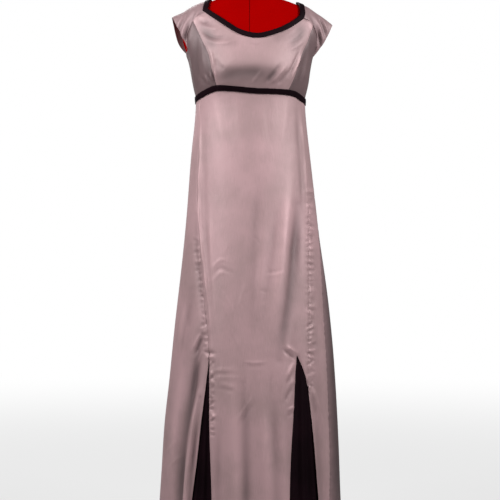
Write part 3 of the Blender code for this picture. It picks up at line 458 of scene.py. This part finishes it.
bodiceFrontCreases = [
    # crescents under the neck's left corner
    (1.6, 4, [(-139, 1362), (-125, 1357), (-113, 1365)]),
    (-1.4, 4, [(-136, 1349), (-122, 1345), (-109, 1354)]),
    (1.7, 5, [(-135, 1339), (-109, 1330), (-81, 1328)]),
    (-1.9, 5, [(-134, 1326), (-114, 1312), (-88, 1304), (-60, 1310)]),
    (1.6, 5, [(-127, 1305), (-101, 1292), (-68, 1291), (-42, 1300)]),
    (-1.2, 3.2, [(-5, 1292), (10, 1286), (23, 1292)]),
    # drags under its right corner
    (1.4, 5, [(125, 1352), (109, 1328), (86, 1313)]),
    (-1.5, 5, [(138, 1323), (120, 1302), (94, 1292)]),
    (1.2, 5, [(135, 1300), (117, 1282), (91, 1274)]),
    # hollow under the bust
    (-2.8, 15, [(-86, 1196), (-60, 1213), (-26, 1219), (16, 1217), (42, 1217)]),
    (-1.5, 7, [(-99, 1253), (-86, 1232), (-68, 1222)]),
    (-1.8, 5, [(75, 1240), (55, 1211), (34, 1188)]),
    (1.8, 4.5, [(88, 1232), (70, 1209), (49, 1185)]),
    (-1.8, 4.5, [(99, 1222), (83, 1204), (65, 1183)]),
    (1.4, 4, [(26, 1222), (13, 1204), (-3, 1185)]),
    # gathers at the foot of the left seam
    (2.0, 3, [(-98, 1222), (-94, 1204), (-91, 1185)]),
    (-1.6, 3, [(-103, 1219), (-99, 1201), (-96, 1183)]),
    (1.9, 3, [(-110, 1214), (-103, 1198), (-96, 1184)]),
    (-1.4, 3, [(-117, 1211), (-110, 1196), (-104, 1180)]),
    (1.8, 3, [(-124, 1209), (-116, 1196), (-108, 1180)]),
    (-1.4, 3, [(-131, 1206), (-125, 1191), (-117, 1175)]),
    (1.4, 3, [(-139, 1204), (-134, 1188), (-127, 1172)]),
    # the right seam's own ridge
    (2.6, 4, [(134, 1269), (125, 1248), (114, 1227), (104, 1206), (95, 1185)]),
    (-2.0, 3.6, [(124, 1274), (116, 1253), (105, 1230), (95, 1206)]),
    (1.8, 4.5, [(-108, 1274), (-102, 1248), (-99, 1227)]),
    # side fronts
    (1.6, 5, [(-153, 1310), (-159, 1269), (-156, 1222), (-148, 1180)]),
    (-1.4, 5, [(-142, 1318), (-146, 1274), (-143, 1227), (-136, 1185)]),
    (1.4, 5, [(-130, 1305), (-129, 1263), (-125, 1222)]),
    (1.5, 4.5, [(147, 1310), (148, 1269), (140, 1222), (130, 1175)]),
    (-1.3, 4.5, [(136, 1253), (130, 1217), (118, 1180)]),
    # sleeves, from the neck out to the hem
    (2.2, 4.5, [(-136, 1380), (-153, 1347), (-162, 1310), (-166, 1274)]),
    (-2.2, 4, [(-146, 1378), (-162, 1344), (-172, 1310), (-175, 1279)]),
    (2.3, 4.5, [(-155, 1375), (-173, 1344), (-183, 1313), (-186, 1284)]),
    (-2.0, 4, [(-165, 1370), (-182, 1344), (-192, 1318), (-194, 1295)]),
    (2.0, 4, [(-176, 1367), (-191, 1344), (-198, 1323)]),
    (2.0, 4.5, [(139, 1367), (153, 1341), (164, 1310), (170, 1269)]),
    (-2.2, 4, [(148, 1370), (164, 1339), (174, 1308), (177, 1274)]),
    (2.4, 4.5, [(157, 1370), (174, 1339), (183, 1308), (185, 1282)]),
    (-1.9, 4, [(168, 1366), (184, 1336), (191, 1308)]),
    (1.8, 4, [(177, 1360), (192, 1336), (198, 1315)]),
]

# Painted shade: broad stretches of the bodice where the cloth is painted duller (below 0) or brighter, made
# the same way
bodiceShadePatches = [
    (-4.4, 27, [(-99, 1243), (-81, 1204), (-36, 1206), (10, 1209), (73, 1211)]),
    (-2.6, 15, [(65, 1227), (42, 1185)]),
    (-6.4, 20, [(-130, 1362), (-114, 1310), (-99, 1269)]),
    (-5.0, 19, [(135, 1352), (120, 1300), (94, 1263)]),
    (-1.8, 12, [(-78, 1300), (-31, 1289)]),
    (-2.6, 16, [(114, 1326), (47, 1300)]),
]

# Painted shade: the strip of the back beyond the right side seam is painted duller in the same way
backShadeStrip = [
    (-7.5, 34, [(97, 1010), (92, 780), (84, 520), (80, 300), (77, -240)]),
]

bodiceRoundCreases = [
    (1.0, 6, [(-150, 1330), (-148, 1270), (-140, 1200)]),
    (-0.9, 6, [(-140, 1330), (-138, 1260), (-131, 1190)]),
    (1.0, 6, [(150, 1330), (147, 1260), (141, 1190)]),
    (-0.9, 6, [(139, 1335), (137, 1270), (130, 1195)]),
    (1.0, 5, [(-172, 1320), (-171, 1250), (-172, 1180)]),
    (0.9, 5, [(171, 1310), (170, 1240), (171, 1175)]),
    (1.2, 4, [(-100, 1225), (-96, 1190), (-93, 1162)]),
    (-0.9, 4, [(-108, 1230), (-103, 1195), (-99, 1165)]),
    (1.2, 4, [(101, 1222), (97, 1190), (94, 1160)]),
    (-0.9, 4, [(109, 1228), (104, 1195), (100, 1165)]),
    (1.4, 5, [(-108, 1395), (-104, 1370), (-101, 1330)]),
    (-1.2, 5, [(-104, 1398), (-99, 1374), (-96, 1335)]),
    (1.4, 5, [(108, 1390), (104, 1362), (101, 1320)]),
    (-1.2, 5, [(104, 1392), (99, 1366), (96, 1325)]),
]

# Seams that pucker, by (angle or aside, height): how far the puckers reach to each side
puckeredSeams = [
    {"view": "front", "path": [(-142, 790), (-131, 681), (-120, 577), (-111, 494)],
     "reach": (-15, 4), "spacing": 13, "depth": 1.5, "seed": 3},
    {"view": "front", "path": [(147, 910), (148, 806), (149, 728), (150, 572), (148, 374)],
     "reach": (-8, 17), "spacing": 12.5, "depth": 2.3, "seed": 5},
    {"view": "front", "path": [(-111, 463), (-112, 364), (-110, 275)],
     "reach": (0, 15), "spacing": 10.5, "depth": 2.2, "seed": 8},
    {"view": "round", "path": [(-95, 1120), (-95, 800), (-95, 400), (-95, 60)],
     "reach": (-9, 9), "spacing": 15, "depth": 0.8, "seed": 11},
    {"view": "round", "path": [(93, 1120), (90, 850), (78, 740), (69, 550), (67, 280), (63, 40)],
     "reach": (-7, 9), "spacing": 15, "depth": 0.7, "seed": 13},
    {"view": "round", "path": [(180, 1120), (180, 700), (180, 60)],
     "reach": (-10, 10), "spacing": 14, "depth": 0.9, "seed": 17},
    {"view": "round", "path": [(-180, 1120), (-180, 700), (-180, 60)],
     "reach": (-10, 10), "spacing": 14, "depth": 0.9, "seed": 17},
]
degreeWidth = 2.9  # millimetres of cloth to a degree, near enough


def smoothStep(t):
    t = np.clip(t, 0, 1)
    return t * t * (3 - 2 * t)


def seamPuckers(seam):
    # Short creases across a seam, uneven in length, slant and depth
    chance = random.Random(seam["seed"])
    across = degreeWidth if seam["view"] == "round" else 1.0
    path = np.array(seam["path"], float) * (across, 1)
    steps = np.linalg.norm(np.diff(path, axis=0), axis=1)
    run = np.concatenate([[0], np.cumsum(steps)])
    at, made, side = 4.0, [], 1
    while at < run[-1]:
        place = np.array([np.interp(at, run, path[:, 0]), np.interp(at, run, path[:, 1])])
        first, last = seam["reach"]
        slant = chance.uniform(-9, 10)
        start = place + (first * chance.uniform(0.5, 1.1), -slant * 0.5)
        end = place + (last * chance.uniform(0.5, 1.1), slant)
        depth = seam["depth"] * chance.uniform(0.35, 1.3) * side
        made.append((depth, chance.uniform(2.8, 4.8), [tuple(start / (across, 1)), tuple(end / (across, 1))]))
        side = -side
        at += seam["spacing"] * chance.uniform(0.3, 0.8)
    return made


for seam in puckeredSeams:
    (skirtFrontCreases if seam["view"] == "front" else skirtRoundCreases).extend(seamPuckers(seam))


def rounded(path):
    # A path with its corners cut off twice
    for _ in range(2):
        first, second = path[:-1], path[1:]
        cut = np.stack([first * 0.75 + second * 0.25, first * 0.25 + second * 0.75], axis=1).reshape(-1, 2)
        path = np.concatenate([path[:1], cut[1:-1], path[-1:]]) if len(path) > 2 else path
    return path


def creaseField(places, creases):
    # Height of all the creases at flat places, each fading towards its two ends
    total = np.zeros(len(places))
    for depth, width, path in creases:
        path = rounded(np.array(path, float))
        low, high = path.min(axis=0) - 3 * width, path.max(axis=0) + 3 * width
        near = np.where(np.all((places > low) & (places < high), axis=1))[0]
        if not len(near):
            continue
        spot = places[near]
        steps = np.linalg.norm(np.diff(path, axis=0), axis=1)
        run = np.concatenate([[0], np.cumsum(steps)])
        best, along = np.full(len(spot), 1e9), np.zeros(len(spot))
        for start, end, length, before in zip(path[:-1], path[1:], steps, run):
            t = np.clip(((spot - start) @ (end - start)) / length**2, 0, 1)
            away = np.linalg.norm(spot - start - t[:, None] * (end - start), axis=1)
            closer = away < best
            best = np.where(closer, away, best)
            along = np.where(closer, before + t * length, along)
        share = along / run[-1]
        ends = smoothStep(share / 0.3) * smoothStep((1 - share) / 0.3)
        uneven = 1 + 0.25 * np.sin(along / (width * 5) + depth * 7)
        total[near] += depth * uneven * (0.25 + 0.75 * ends) * np.exp(-((best / width) ** 2))
    return total * 0.001


def seenFromFront(points):
    # Where points are seen against the middle plane by the front camera, in millimetres
    closer = 1 + points[:, 1] / cameraValues["distance"]
    aside, height = cameraValues["aside"], cameraValues["height"]
    flat = np.stack([aside + (points[:, 0] - aside) / closer, height + (points[:, 2] - height) / closer],
                    axis=1)
    return flat * 1000


def seenRound(points, middle):
    turn = np.degrees(np.arctan2(points[:, 0], -points[:, 1]))
    turn = (turn - middle + 180) % 360 - 180 + middle
    return np.stack([turn * degreeWidth, points[:, 2] * 1000], axis=1)


def roundCreaseField(points, creases):
    stretched = [(depth, width, [(turn * degreeWidth, height) for turn, height in path])
                 for depth, width, path in creases]
    centre = points.mean(axis=0)
    middle = math.degrees(math.atan2(centre[0], -centre[1]))
    return creaseField(seenRound(points, middle), stretched)


# Meshes
def activate(thing):
    bpy.ops.object.select_all(action="DESELECT")
    thing.select_set(True)
    bpy.context.view_layer.objects.active = thing


def applied(thing, kind, **values):
    activate(thing)
    modifier = thing.modifiers.new(kind.lower(), kind)
    for key, value in values.items():
        setattr(modifier, key, value)
    bpy.ops.object.modifier_apply(modifier=modifier.name)


def smoothed(thing, levels):
    applied(thing, "SUBSURF", levels=levels, render_levels=levels)


def meshPoints(thing):
    flat = np.empty(len(thing.data.vertices) * 3)
    thing.data.vertices.foreach_get("co", flat)
    return flat.reshape(-1, 3)


def meshNormals(thing):
    flat = np.empty(len(thing.data.vertices) * 3)
    thing.data.vertices.foreach_get("normal", flat)
    return flat.reshape(-1, 3)


def movePoints(thing, points):
    thing.data.vertices.foreach_set("co", np.asarray(points, dtype=np.float32).ravel())
    thing.data.update()


def nodeShell(nodeName):
    # The CAD node's own mesh, its doubles merged and its triangles paired into quads
    shell = bmesh.new()
    shell.from_mesh(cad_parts[nodeName].data)
    bmesh.ops.remove_doubles(shell, verts=shell.verts, dist=0.00002)
    bmesh.ops.join_triangles(shell, faces=shell.faces, angle_face_threshold=math.radians(35),
                             angle_shape_threshold=math.radians(80))
    return shell


def newPiece(name, shell, finish):
    mesh = bpy.data.meshes.new(name)
    shell.to_mesh(mesh)
    shell.free()
    mesh.materials.clear()
    mesh.materials.append(finish)
    piece = bpy.data.objects.new(name, mesh)
    bpy.context.scene.collection.objects.link(piece)
    return piece


def keepOuterSkin(shell):
    # Leaves the outward face of a cloth wall: the largest stretch between sharp edges that looks out
    seen, islands = set(), []
    for face in shell.faces:
        if face in seen:
            continue
        island, edge = [], [face]
        seen.add(face)
        while edge:
            current = edge.pop()
            island.append(current)
            for side in current.edges:
                for other in side.link_faces:
                    if other not in seen and current.normal.angle(other.normal, 0) < math.radians(50):
                        seen.add(other)
                        edge.append(other)
        islands.append(island)

    def outward(island):
        total = 0.0
        for face in island:
            centre = face.calc_center_median()
            away = centre.copy()
            away.z = max(centre.z - 1.25, 0) * 2
            total += face.normal.dot(away.normalized()) * face.calc_area()
        return total

    keep = set(max(islands, key=outward))
    bmesh.ops.delete(shell, geom=[face for face in shell.faces if face not in keep], context="FACES")
    loose = [vert for vert in shell.verts if not vert.link_faces]
    bmesh.ops.delete(shell, geom=loose, context="VERTS")


def keepCorners(shell, least=35):
    # A skin's own corners stay sharp when it is smoothed
    layer = shell.verts.layers.float.new("crease_vert")
    for vert in shell.verts:
        rim = [edge for edge in vert.link_edges if edge.is_boundary]
        if len(rim) == 2:
            first = rim[0].other_vert(vert).co - vert.co
            second = vert.co - rim[1].other_vert(vert).co
            if first.angle(second, 0) > math.radians(least):
                vert[layer] = 1.0


def splitLongEdges(thing, longest):
    work = bmesh.new()
    work.from_mesh(thing.data)
    long = [edge for edge in work.edges if edge.calc_length() > longest]
    bmesh.ops.subdivide_edges(work, edges=long, cuts=1, use_grid_fill=True)
    work.to_mesh(thing.data)
    work.free()


def rimDistance(thing):
    # Distance of every point from the piece's own cut edges
    work = bmesh.new()
    work.from_mesh(thing.data)
    rim = [vert.co.copy() for vert in work.verts if vert.is_boundary]
    work.free()
    tree = KDTree(len(rim))
    for i, place in enumerate(rim):
        tree.insert(place, i)
    tree.balance()
    return np.array([tree.find(vert.co)[2] for vert in thing.data.vertices])


def pointTree(things):
    places = [vert.co for thing in things for vert in thing.data.vertices]
    tree = KDTree(len(places))
    for i, place in enumerate(places):
        tree.insert(place, i)
    tree.balance()
    return tree


def addClothMap(thing, kind):
    # A map in metres of cloth: across and along the threads
    points = meshPoints(thing)
    if kind == "sleeve":
        flat = np.stack([points[:, 1], np.abs(points[:, 0]) * 0.75 - points[:, 2] * 0.65], axis=1)
    else:
        centre = points.mean(axis=0)
        middle = math.degrees(math.atan2(centre[0], -centre[1])) if kind == "panel" else 0
        turn = np.degrees(np.arctan2(points[:, 0], -points[:, 1]))
        turn = (turn - middle + 180) % 360 - 180 + middle
        flat = np.stack([np.radians(turn) * 0.17, points[:, 2]], axis=1)
    corners = np.empty(len(thing.data.loops), dtype=np.int32)
    thing.data.loops.foreach_get("vertex_index", corners)
    layer = thing.data.uv_layers.new(name="cloth")
    layer.data.foreach_set("uv", flat[corners].astype(np.float32).ravel())


def declare(piece, nodes):
    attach(piece, "root")
    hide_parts(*nodes)


# Sizes of the stand
standValues = {"baseRadius": 0.140, "baseHeight": 0.012, "poleRadius": 0.0125, "poleTop": 0.7197,
               "capRadius": 0.0565, "capHeight": 0.014, "capFoot": 1.4923, "capAside": -0.0065}

# Trims: folded strips of dark satin, softly rounded
trimValues = {"levels": 2, "softness": 0.55, "puff": 0.0005, "corner": 28}


def keepTurns(shell, creased):
    # Walks round a strip section by section, and keeps the sections where it turns a corner
    pinned = shell.verts.layers.float.new("crease_vert")
    middle = standValues["capAside"]
    behind = sorted((vert for vert in shell.verts if vert.co.y > 0), key=lambda vert: abs(vert.co.x - middle))
    section = {vert for vert in behind if abs(vert.co.x - behind[0].co.x) < 0.0004}
    sections, seen = [], set()
    while section:
        sections.append(section)
        seen |= section
        ahead = {edge.other_vert(vert) for vert in section for edge in vert.link_edges} - seen
        section = {vert for vert in ahead if len(sections) > 1 or vert.co.x < middle}
    centres = [sum((vert.co for vert in part), Vector()) / len(part) for part in sections]
    for before, here, after, part in zip(centres, centres[1:], centres[2:], sections[1:]):
        if (here - before).angle(after - here, 0) > math.radians(trimValues["corner"]):
            for vert in part:
                vert[pinned] = 1.0
                for edge in vert.link_edges:
                    if edge.other_vert(vert) in part:
                        edge[creased] = 1.0


def makeTrim(nodeName):
    shell = nodeShell(nodeName)
    layer = shell.edges.layers.float.new("crease_edge")
    for edge in shell.edges:
        if len(edge.link_faces) == 2 and edge.calc_face_angle(0) > math.radians(40):
            edge[layer] = trimValues["softness"]
    keepTurns(shell, layer)
    piece = newPiece(nodeName + "_cloth", shell, aubergineSatin)
    smoothed(piece, trimValues["levels"])
    points, normals = meshPoints(piece), meshNormals(piece)
    turn = np.arctan2(points[:, 0], -points[:, 1])
    ripple = np.sin(turn * 31 + 2 * np.sin(turn * 5)) * np.sin(turn * 13 + 0.7)
    movePoints(piece, points + normals * (trimValues["puff"] * 0.5 * ripple)[:, None])
    piece.data.shade_smooth()
    addClothMap(piece, "strip")
    declare(piece, [nodeName])
    return piece


neckBinding = makeTrim("neck_binding")
underBustBand = makeTrim("under_bust_band")
trimTree = pointTree([neckBinding, underBustBand])
print("trims made")


# Cloth panels: the outer skin of each solid, smoothed, creased and given its thickness again
clothValues = {"thickness": 0.0009, "seamDip": 0.0011, "seamReach": 0.0045, "trimRoom": 0.012}
# The sleeves, backs and bodice side fronts take darker copies of the satin, which are painted shade
panels = {
    "bodice_front": {"kind": "bodice", "flat": (0.30, 0.22), "area": 0.046, "held": "draped"},
    "bodice_side_front_l": {"kind": "bodice", "flat": (0.12, 0.19), "area": 0.017,
                            "held": "draped", "finish": deepShadedSatin},
    "bodice_side_front_r": {"kind": "bodice", "flat": (0.11, 0.18), "area": 0.0143,
                            "held": "draped", "finish": deepShadedSatin},
    "bodice_back_l": {"kind": "bodice", "flat": (0.25, 0.22), "area": 0.040,
                      "held": "draped", "finish": shadedSatin},
    "bodice_back_r": {"kind": "bodice", "flat": (0.25, 0.22), "area": 0.042,
                      "held": "draped", "finish": shadedSatin},
    "sleeve_l": {"kind": "sleeve", "flat": (0.16, 0.12), "area": 0.013,
                 "held": "draped", "finish": shadedSatin},
    "sleeve_r": {"kind": "sleeve", "flat": (0.16, 0.12), "area": 0.0135,
                 "held": "draped", "finish": shadedSatin},
    "skirt_front": {"kind": "skirt", "flat": (0.34, 1.16), "area": 0.303, "held": "hung"},
    "skirt_side_front_l": {"kind": "skirt", "flat": (0.22, 1.15), "area": 0.169, "held": "hung"},
    "skirt_side_front_r": {"kind": "skirt", "flat": (0.11, 1.14), "area": 0.064, "held": "hung"},
    "skirt_back_l": {"kind": "skirt", "flat": (0.36, 1.15), "area": 0.302,
                     "held": "hung", "finish": shadedSatin},
    "skirt_back_r": {"kind": "skirt", "flat": (0.44, 1.15), "area": 0.349,
                     "held": "hung", "finish": shadedSatin},
    "godet_l": {"kind": "godet", "flat": (0.14, 0.50), "area": 0.037,
                "held": "folded", "finish": aubergineSatin},
    "godet_r": {"kind": "godet", "flat": (0.17, 0.50), "area": 0.049,
                "held": "folded", "finish": aubergineSatin},
}


def makePanel(nodeName, values):
    kind = values["kind"]
    shell = nodeShell(nodeName)
    keepOuterSkin(shell)
    keepCorners(shell)
    dark = kind == "godet"
    piece = newPiece(nodeName + "_cloth", shell, values.get("finish", mauveSatin))
    smoothed(piece, 2)
    if kind == "skirt":
        splitLongEdges(piece, 0.0105)
    smoothed(piece, 1)
    points, normals = meshPoints(piece), meshNormals(piece)
    facing = np.clip(-normals[:, 1] * 3, 0, 1)
    if kind in ("skirt", "godet"):
        lift = creaseField(seenFromFront(points), skirtFrontCreases) * facing
        lift += roundCreaseField(points, skirtRoundCreases)
    else:
        lift = creaseField(seenFromFront(points), bodiceFrontCreases) * facing
        lift += roundCreaseField(points, bodiceRoundCreases)
    # The colour attribute holds the crease heights, for painted shade in hollows and painted highlight on
    # ridges, plus painted shade patches on the bodice and the back strip, in millimetres
    shadeHeights = lift + (creaseField(seenFromFront(points), bodiceShadePatches) * facing if kind == "bodice" else 0)
    shadeHeights += roundCreaseField(points, backShadeStrip) if nodeName == "skirt_back_r" else 0
    room = np.array([trimTree.find(place)[2] for place in points])
    lift *= smoothStep((room - 0.004) / clothValues["trimRoom"])
    folds = piece.data.attributes.new("paintedShading", "FLOAT", "POINT")
    folds.data.foreach_set("value", (shadeHeights * 1000).astype(np.float32))
    edge = rimDistance(piece)
    dip = clothValues["seamDip"] * np.exp(-((edge / clothValues["seamReach"]) ** 2) * 2)
    lift -= 0 if dark else dip
    movePoints(piece, points + normals * lift[:, None])
    applied(piece, "SOLIDIFY", thickness=clothValues["thickness"], offset=-1.0, use_rim=True)
    piece.data.shade_smooth()
    piece.data.set_sharp_from_angle(angle=math.radians(50))
    addClothMap(piece, "sleeve" if kind == "sleeve" else "panel")
    declare(piece, [nodeName])
    print(nodeName, len(piece.data.polygons))
    return piece


cloth = {name: makePanel(name, values) for name, values in panels.items()}
print("cloth made")


def makeTorso():
    # The padded body of the form under its jersey cover
    shell = nodeShell("form_torso")
    layer = shell.edges.layers.float.new("crease_edge")
    for edge in shell.edges:
        if len(edge.link_faces) == 2 and edge.calc_face_angle(0) > math.radians(55):
            edge[layer] = 0.8
    piece = newPiece("torso_cover", shell, redJersey)
    smoothed(piece, 2)
    piece.data.shade_smooth()
    declare(piece, ["form_torso"])


makeTorso()


# Stand: a turned base, its tube and the cap on the neck

def turnedDisc(name, radius, height, foot, aside, bevel, finish):
    bpy.ops.object.select_all(action="DESELECT")
    bpy.ops.mesh.primitive_cylinder_add(vertices=72, radius=radius, depth=height, location=(aside, 0,
                                                                                            foot + height / 2))
    piece = bpy.context.active_object
    piece.name = name
    piece.data.name = name
    bpy.ops.object.transform_apply(location=True, rotation=True, scale=True)
    bpy.ops.object.mode_set(mode="EDIT")
    bpy.ops.mesh.select_mode(type="FACE")
    bpy.ops.mesh.select_all(action="DESELECT")
    bpy.ops.object.mode_set(mode="OBJECT")
    for face in piece.data.polygons:
        face.select = abs(face.normal.z) > 0.9
    bpy.ops.object.mode_set(mode="EDIT")
    bpy.ops.mesh.inset(thickness=radius * 0.25, use_individual=True)
    bpy.ops.mesh.inset(thickness=radius * 0.35, use_individual=True)
    bpy.ops.object.mode_set(mode="OBJECT")
    applied(piece, "BEVEL", width=bevel, segments=4, limit_method="ANGLE", angle_limit=math.radians(50))
    piece.data.materials.clear()
    piece.data.materials.append(finish)
    activate(piece)
    bpy.ops.object.shade_smooth_by_angle(angle=math.radians(35))
    return piece


standBase = turnedDisc("standBase", standValues["baseRadius"], standValues["baseHeight"], 0, 0, 0.0042,
                       blackEnamel)
declare(standBase, ["form_base"])
standPole = turnedDisc("standPole", standValues["poleRadius"], standValues["poleTop"] - 0.0123, 0.0123, 0,
                       0.0006, brushedSteel)
declare(standPole, ["form_pole"])
neckCap = turnedDisc("neckCap", standValues["capRadius"], standValues["capHeight"], standValues["capFoot"],
                     standValues["capAside"], 0.0048, blackEnamel)
declare(neckCap, ["form_neck_cap"])
print("form made")


# Studio: pale floor, white surround, two soft lights high in front to either side, one behind
studioValues = {"floor": 0.36, "haze": 0.72, "surround": 0.17, "key": 24.5, "fill": 25.5, "rim": 16,
                "spread": 112}


def makeFloor():
    bpy.ops.object.select_all(action="DESELECT")
    bpy.ops.mesh.primitive_plane_add(size=60)
    floor = bpy.context.active_object
    floor.name = "floor"
    made, tree, shader = newMaterial("paleFloor")
    links = tree.links
    place = addNode(tree, "ShaderNodeTexCoord", (-1100, 0)).outputs["Object"]
    speckle = addNode(tree, "ShaderNodeTexNoise", (-800, 0), Scale=3.0, Detail=5.0)
    links.new(place, speckle.inputs["Vector"])
    tone = studioValues["floor"]
    colour = mixColours(tree, (-500, 0), speckle.outputs["Fac"], (tone * 0.985,) * 3, (tone,) * 3)
    links.new(colour.outputs["Result"], shader.inputs["Base Color"])
    shader.inputs["Roughness"].default_value = 0.8
    # the floor fades into the white surround with distance
    away = tree.nodes.new("ShaderNodeVectorMath")
    away.operation = "LENGTH"
    away.location = (-800, -300)
    links.new(place, away.inputs[0])
    fade = addNode(tree, "ShaderNodeMapRange", (-500, -300))
    fade.interpolation_type = "SMOOTHSTEP"
    fade.inputs["From Min"].default_value = 0.5
    fade.inputs["From Max"].default_value = 5.0
    fade.inputs["To Min"].default_value = studioValues["haze"]
    links.new(away.outputs["Value"], fade.inputs["Value"])
    white = addNode(tree, "ShaderNodeEmission", (-300, -500))
    which = tree.nodes.new("ShaderNodeLightPath")
    seen = tree.nodes.new("ShaderNodeMath")
    seen.operation = "MULTIPLY"
    links.new(fade.outputs["Result"], seen.inputs[0])
    links.new(which.outputs["Is Camera Ray"], seen.inputs[1])
    choose = tree.nodes.new("ShaderNodeMixShader")
    links.new(seen.outputs[0], choose.inputs["Fac"])
    links.new(shader.outputs["BSDF"], choose.inputs[1])
    links.new(white.outputs["Emission"], choose.inputs[2])
    links.new(choose.outputs["Shader"], tree.nodes["Material Output"].inputs["Surface"])
    floor.data.materials.append(made)


def makeStudio():
    makeFloor()
    world = bpy.data.worlds.new("studio")
    bpy.context.scene.world = world
    world.use_nodes = True
    nodes, links = world.node_tree.nodes, world.node_tree.links
    nodes["Background"].inputs["Color"].default_value = (1, 1, 1, 1)
    nodes["Background"].inputs["Strength"].default_value = studioValues["surround"]
    seen = nodes.new("ShaderNodeBackground")
    seen.inputs["Color"].default_value = (1, 1, 1, 1)
    seen.inputs["Strength"].default_value = 1.0
    which = nodes.new("ShaderNodeLightPath")
    choose = nodes.new("ShaderNodeMixShader")
    links.new(which.outputs["Is Camera Ray"], choose.inputs["Fac"])
    links.new(nodes["Background"].outputs["Background"], choose.inputs[1])
    links.new(seen.outputs["Background"], choose.inputs[2])
    links.new(choose.outputs["Shader"], nodes["World Output"].inputs["Surface"])

    for name, place, aim, size, power in (
        ("keyLight", (-1.68, -1.16, 2.12), (0, -0.1, 1.22), 1.0, studioValues["key"]),
        ("fillLight", (1.84, -1.26, 2.1), (0, -0.1, 1.22), 1.0, studioValues["fill"]),
        ("rimLight", (-0.8, 2.4, 2.4), (0, 0, 1.0), 1.8, studioValues["rim"]),
    ):
        data = bpy.data.lights.new(name, "AREA")
        data.energy = power
        data.size = size
        data.spread = math.radians(studioValues["spread"])
        lamp = bpy.data.objects.new(name, data)
        lamp.location = place
        lamp.rotation_euler = (Vector(aim) - Vector(place)).to_track_quat("-Z", "Y").to_euler()
        bpy.context.scene.collection.objects.link(lamp)


makeStudio()
print("studio set")
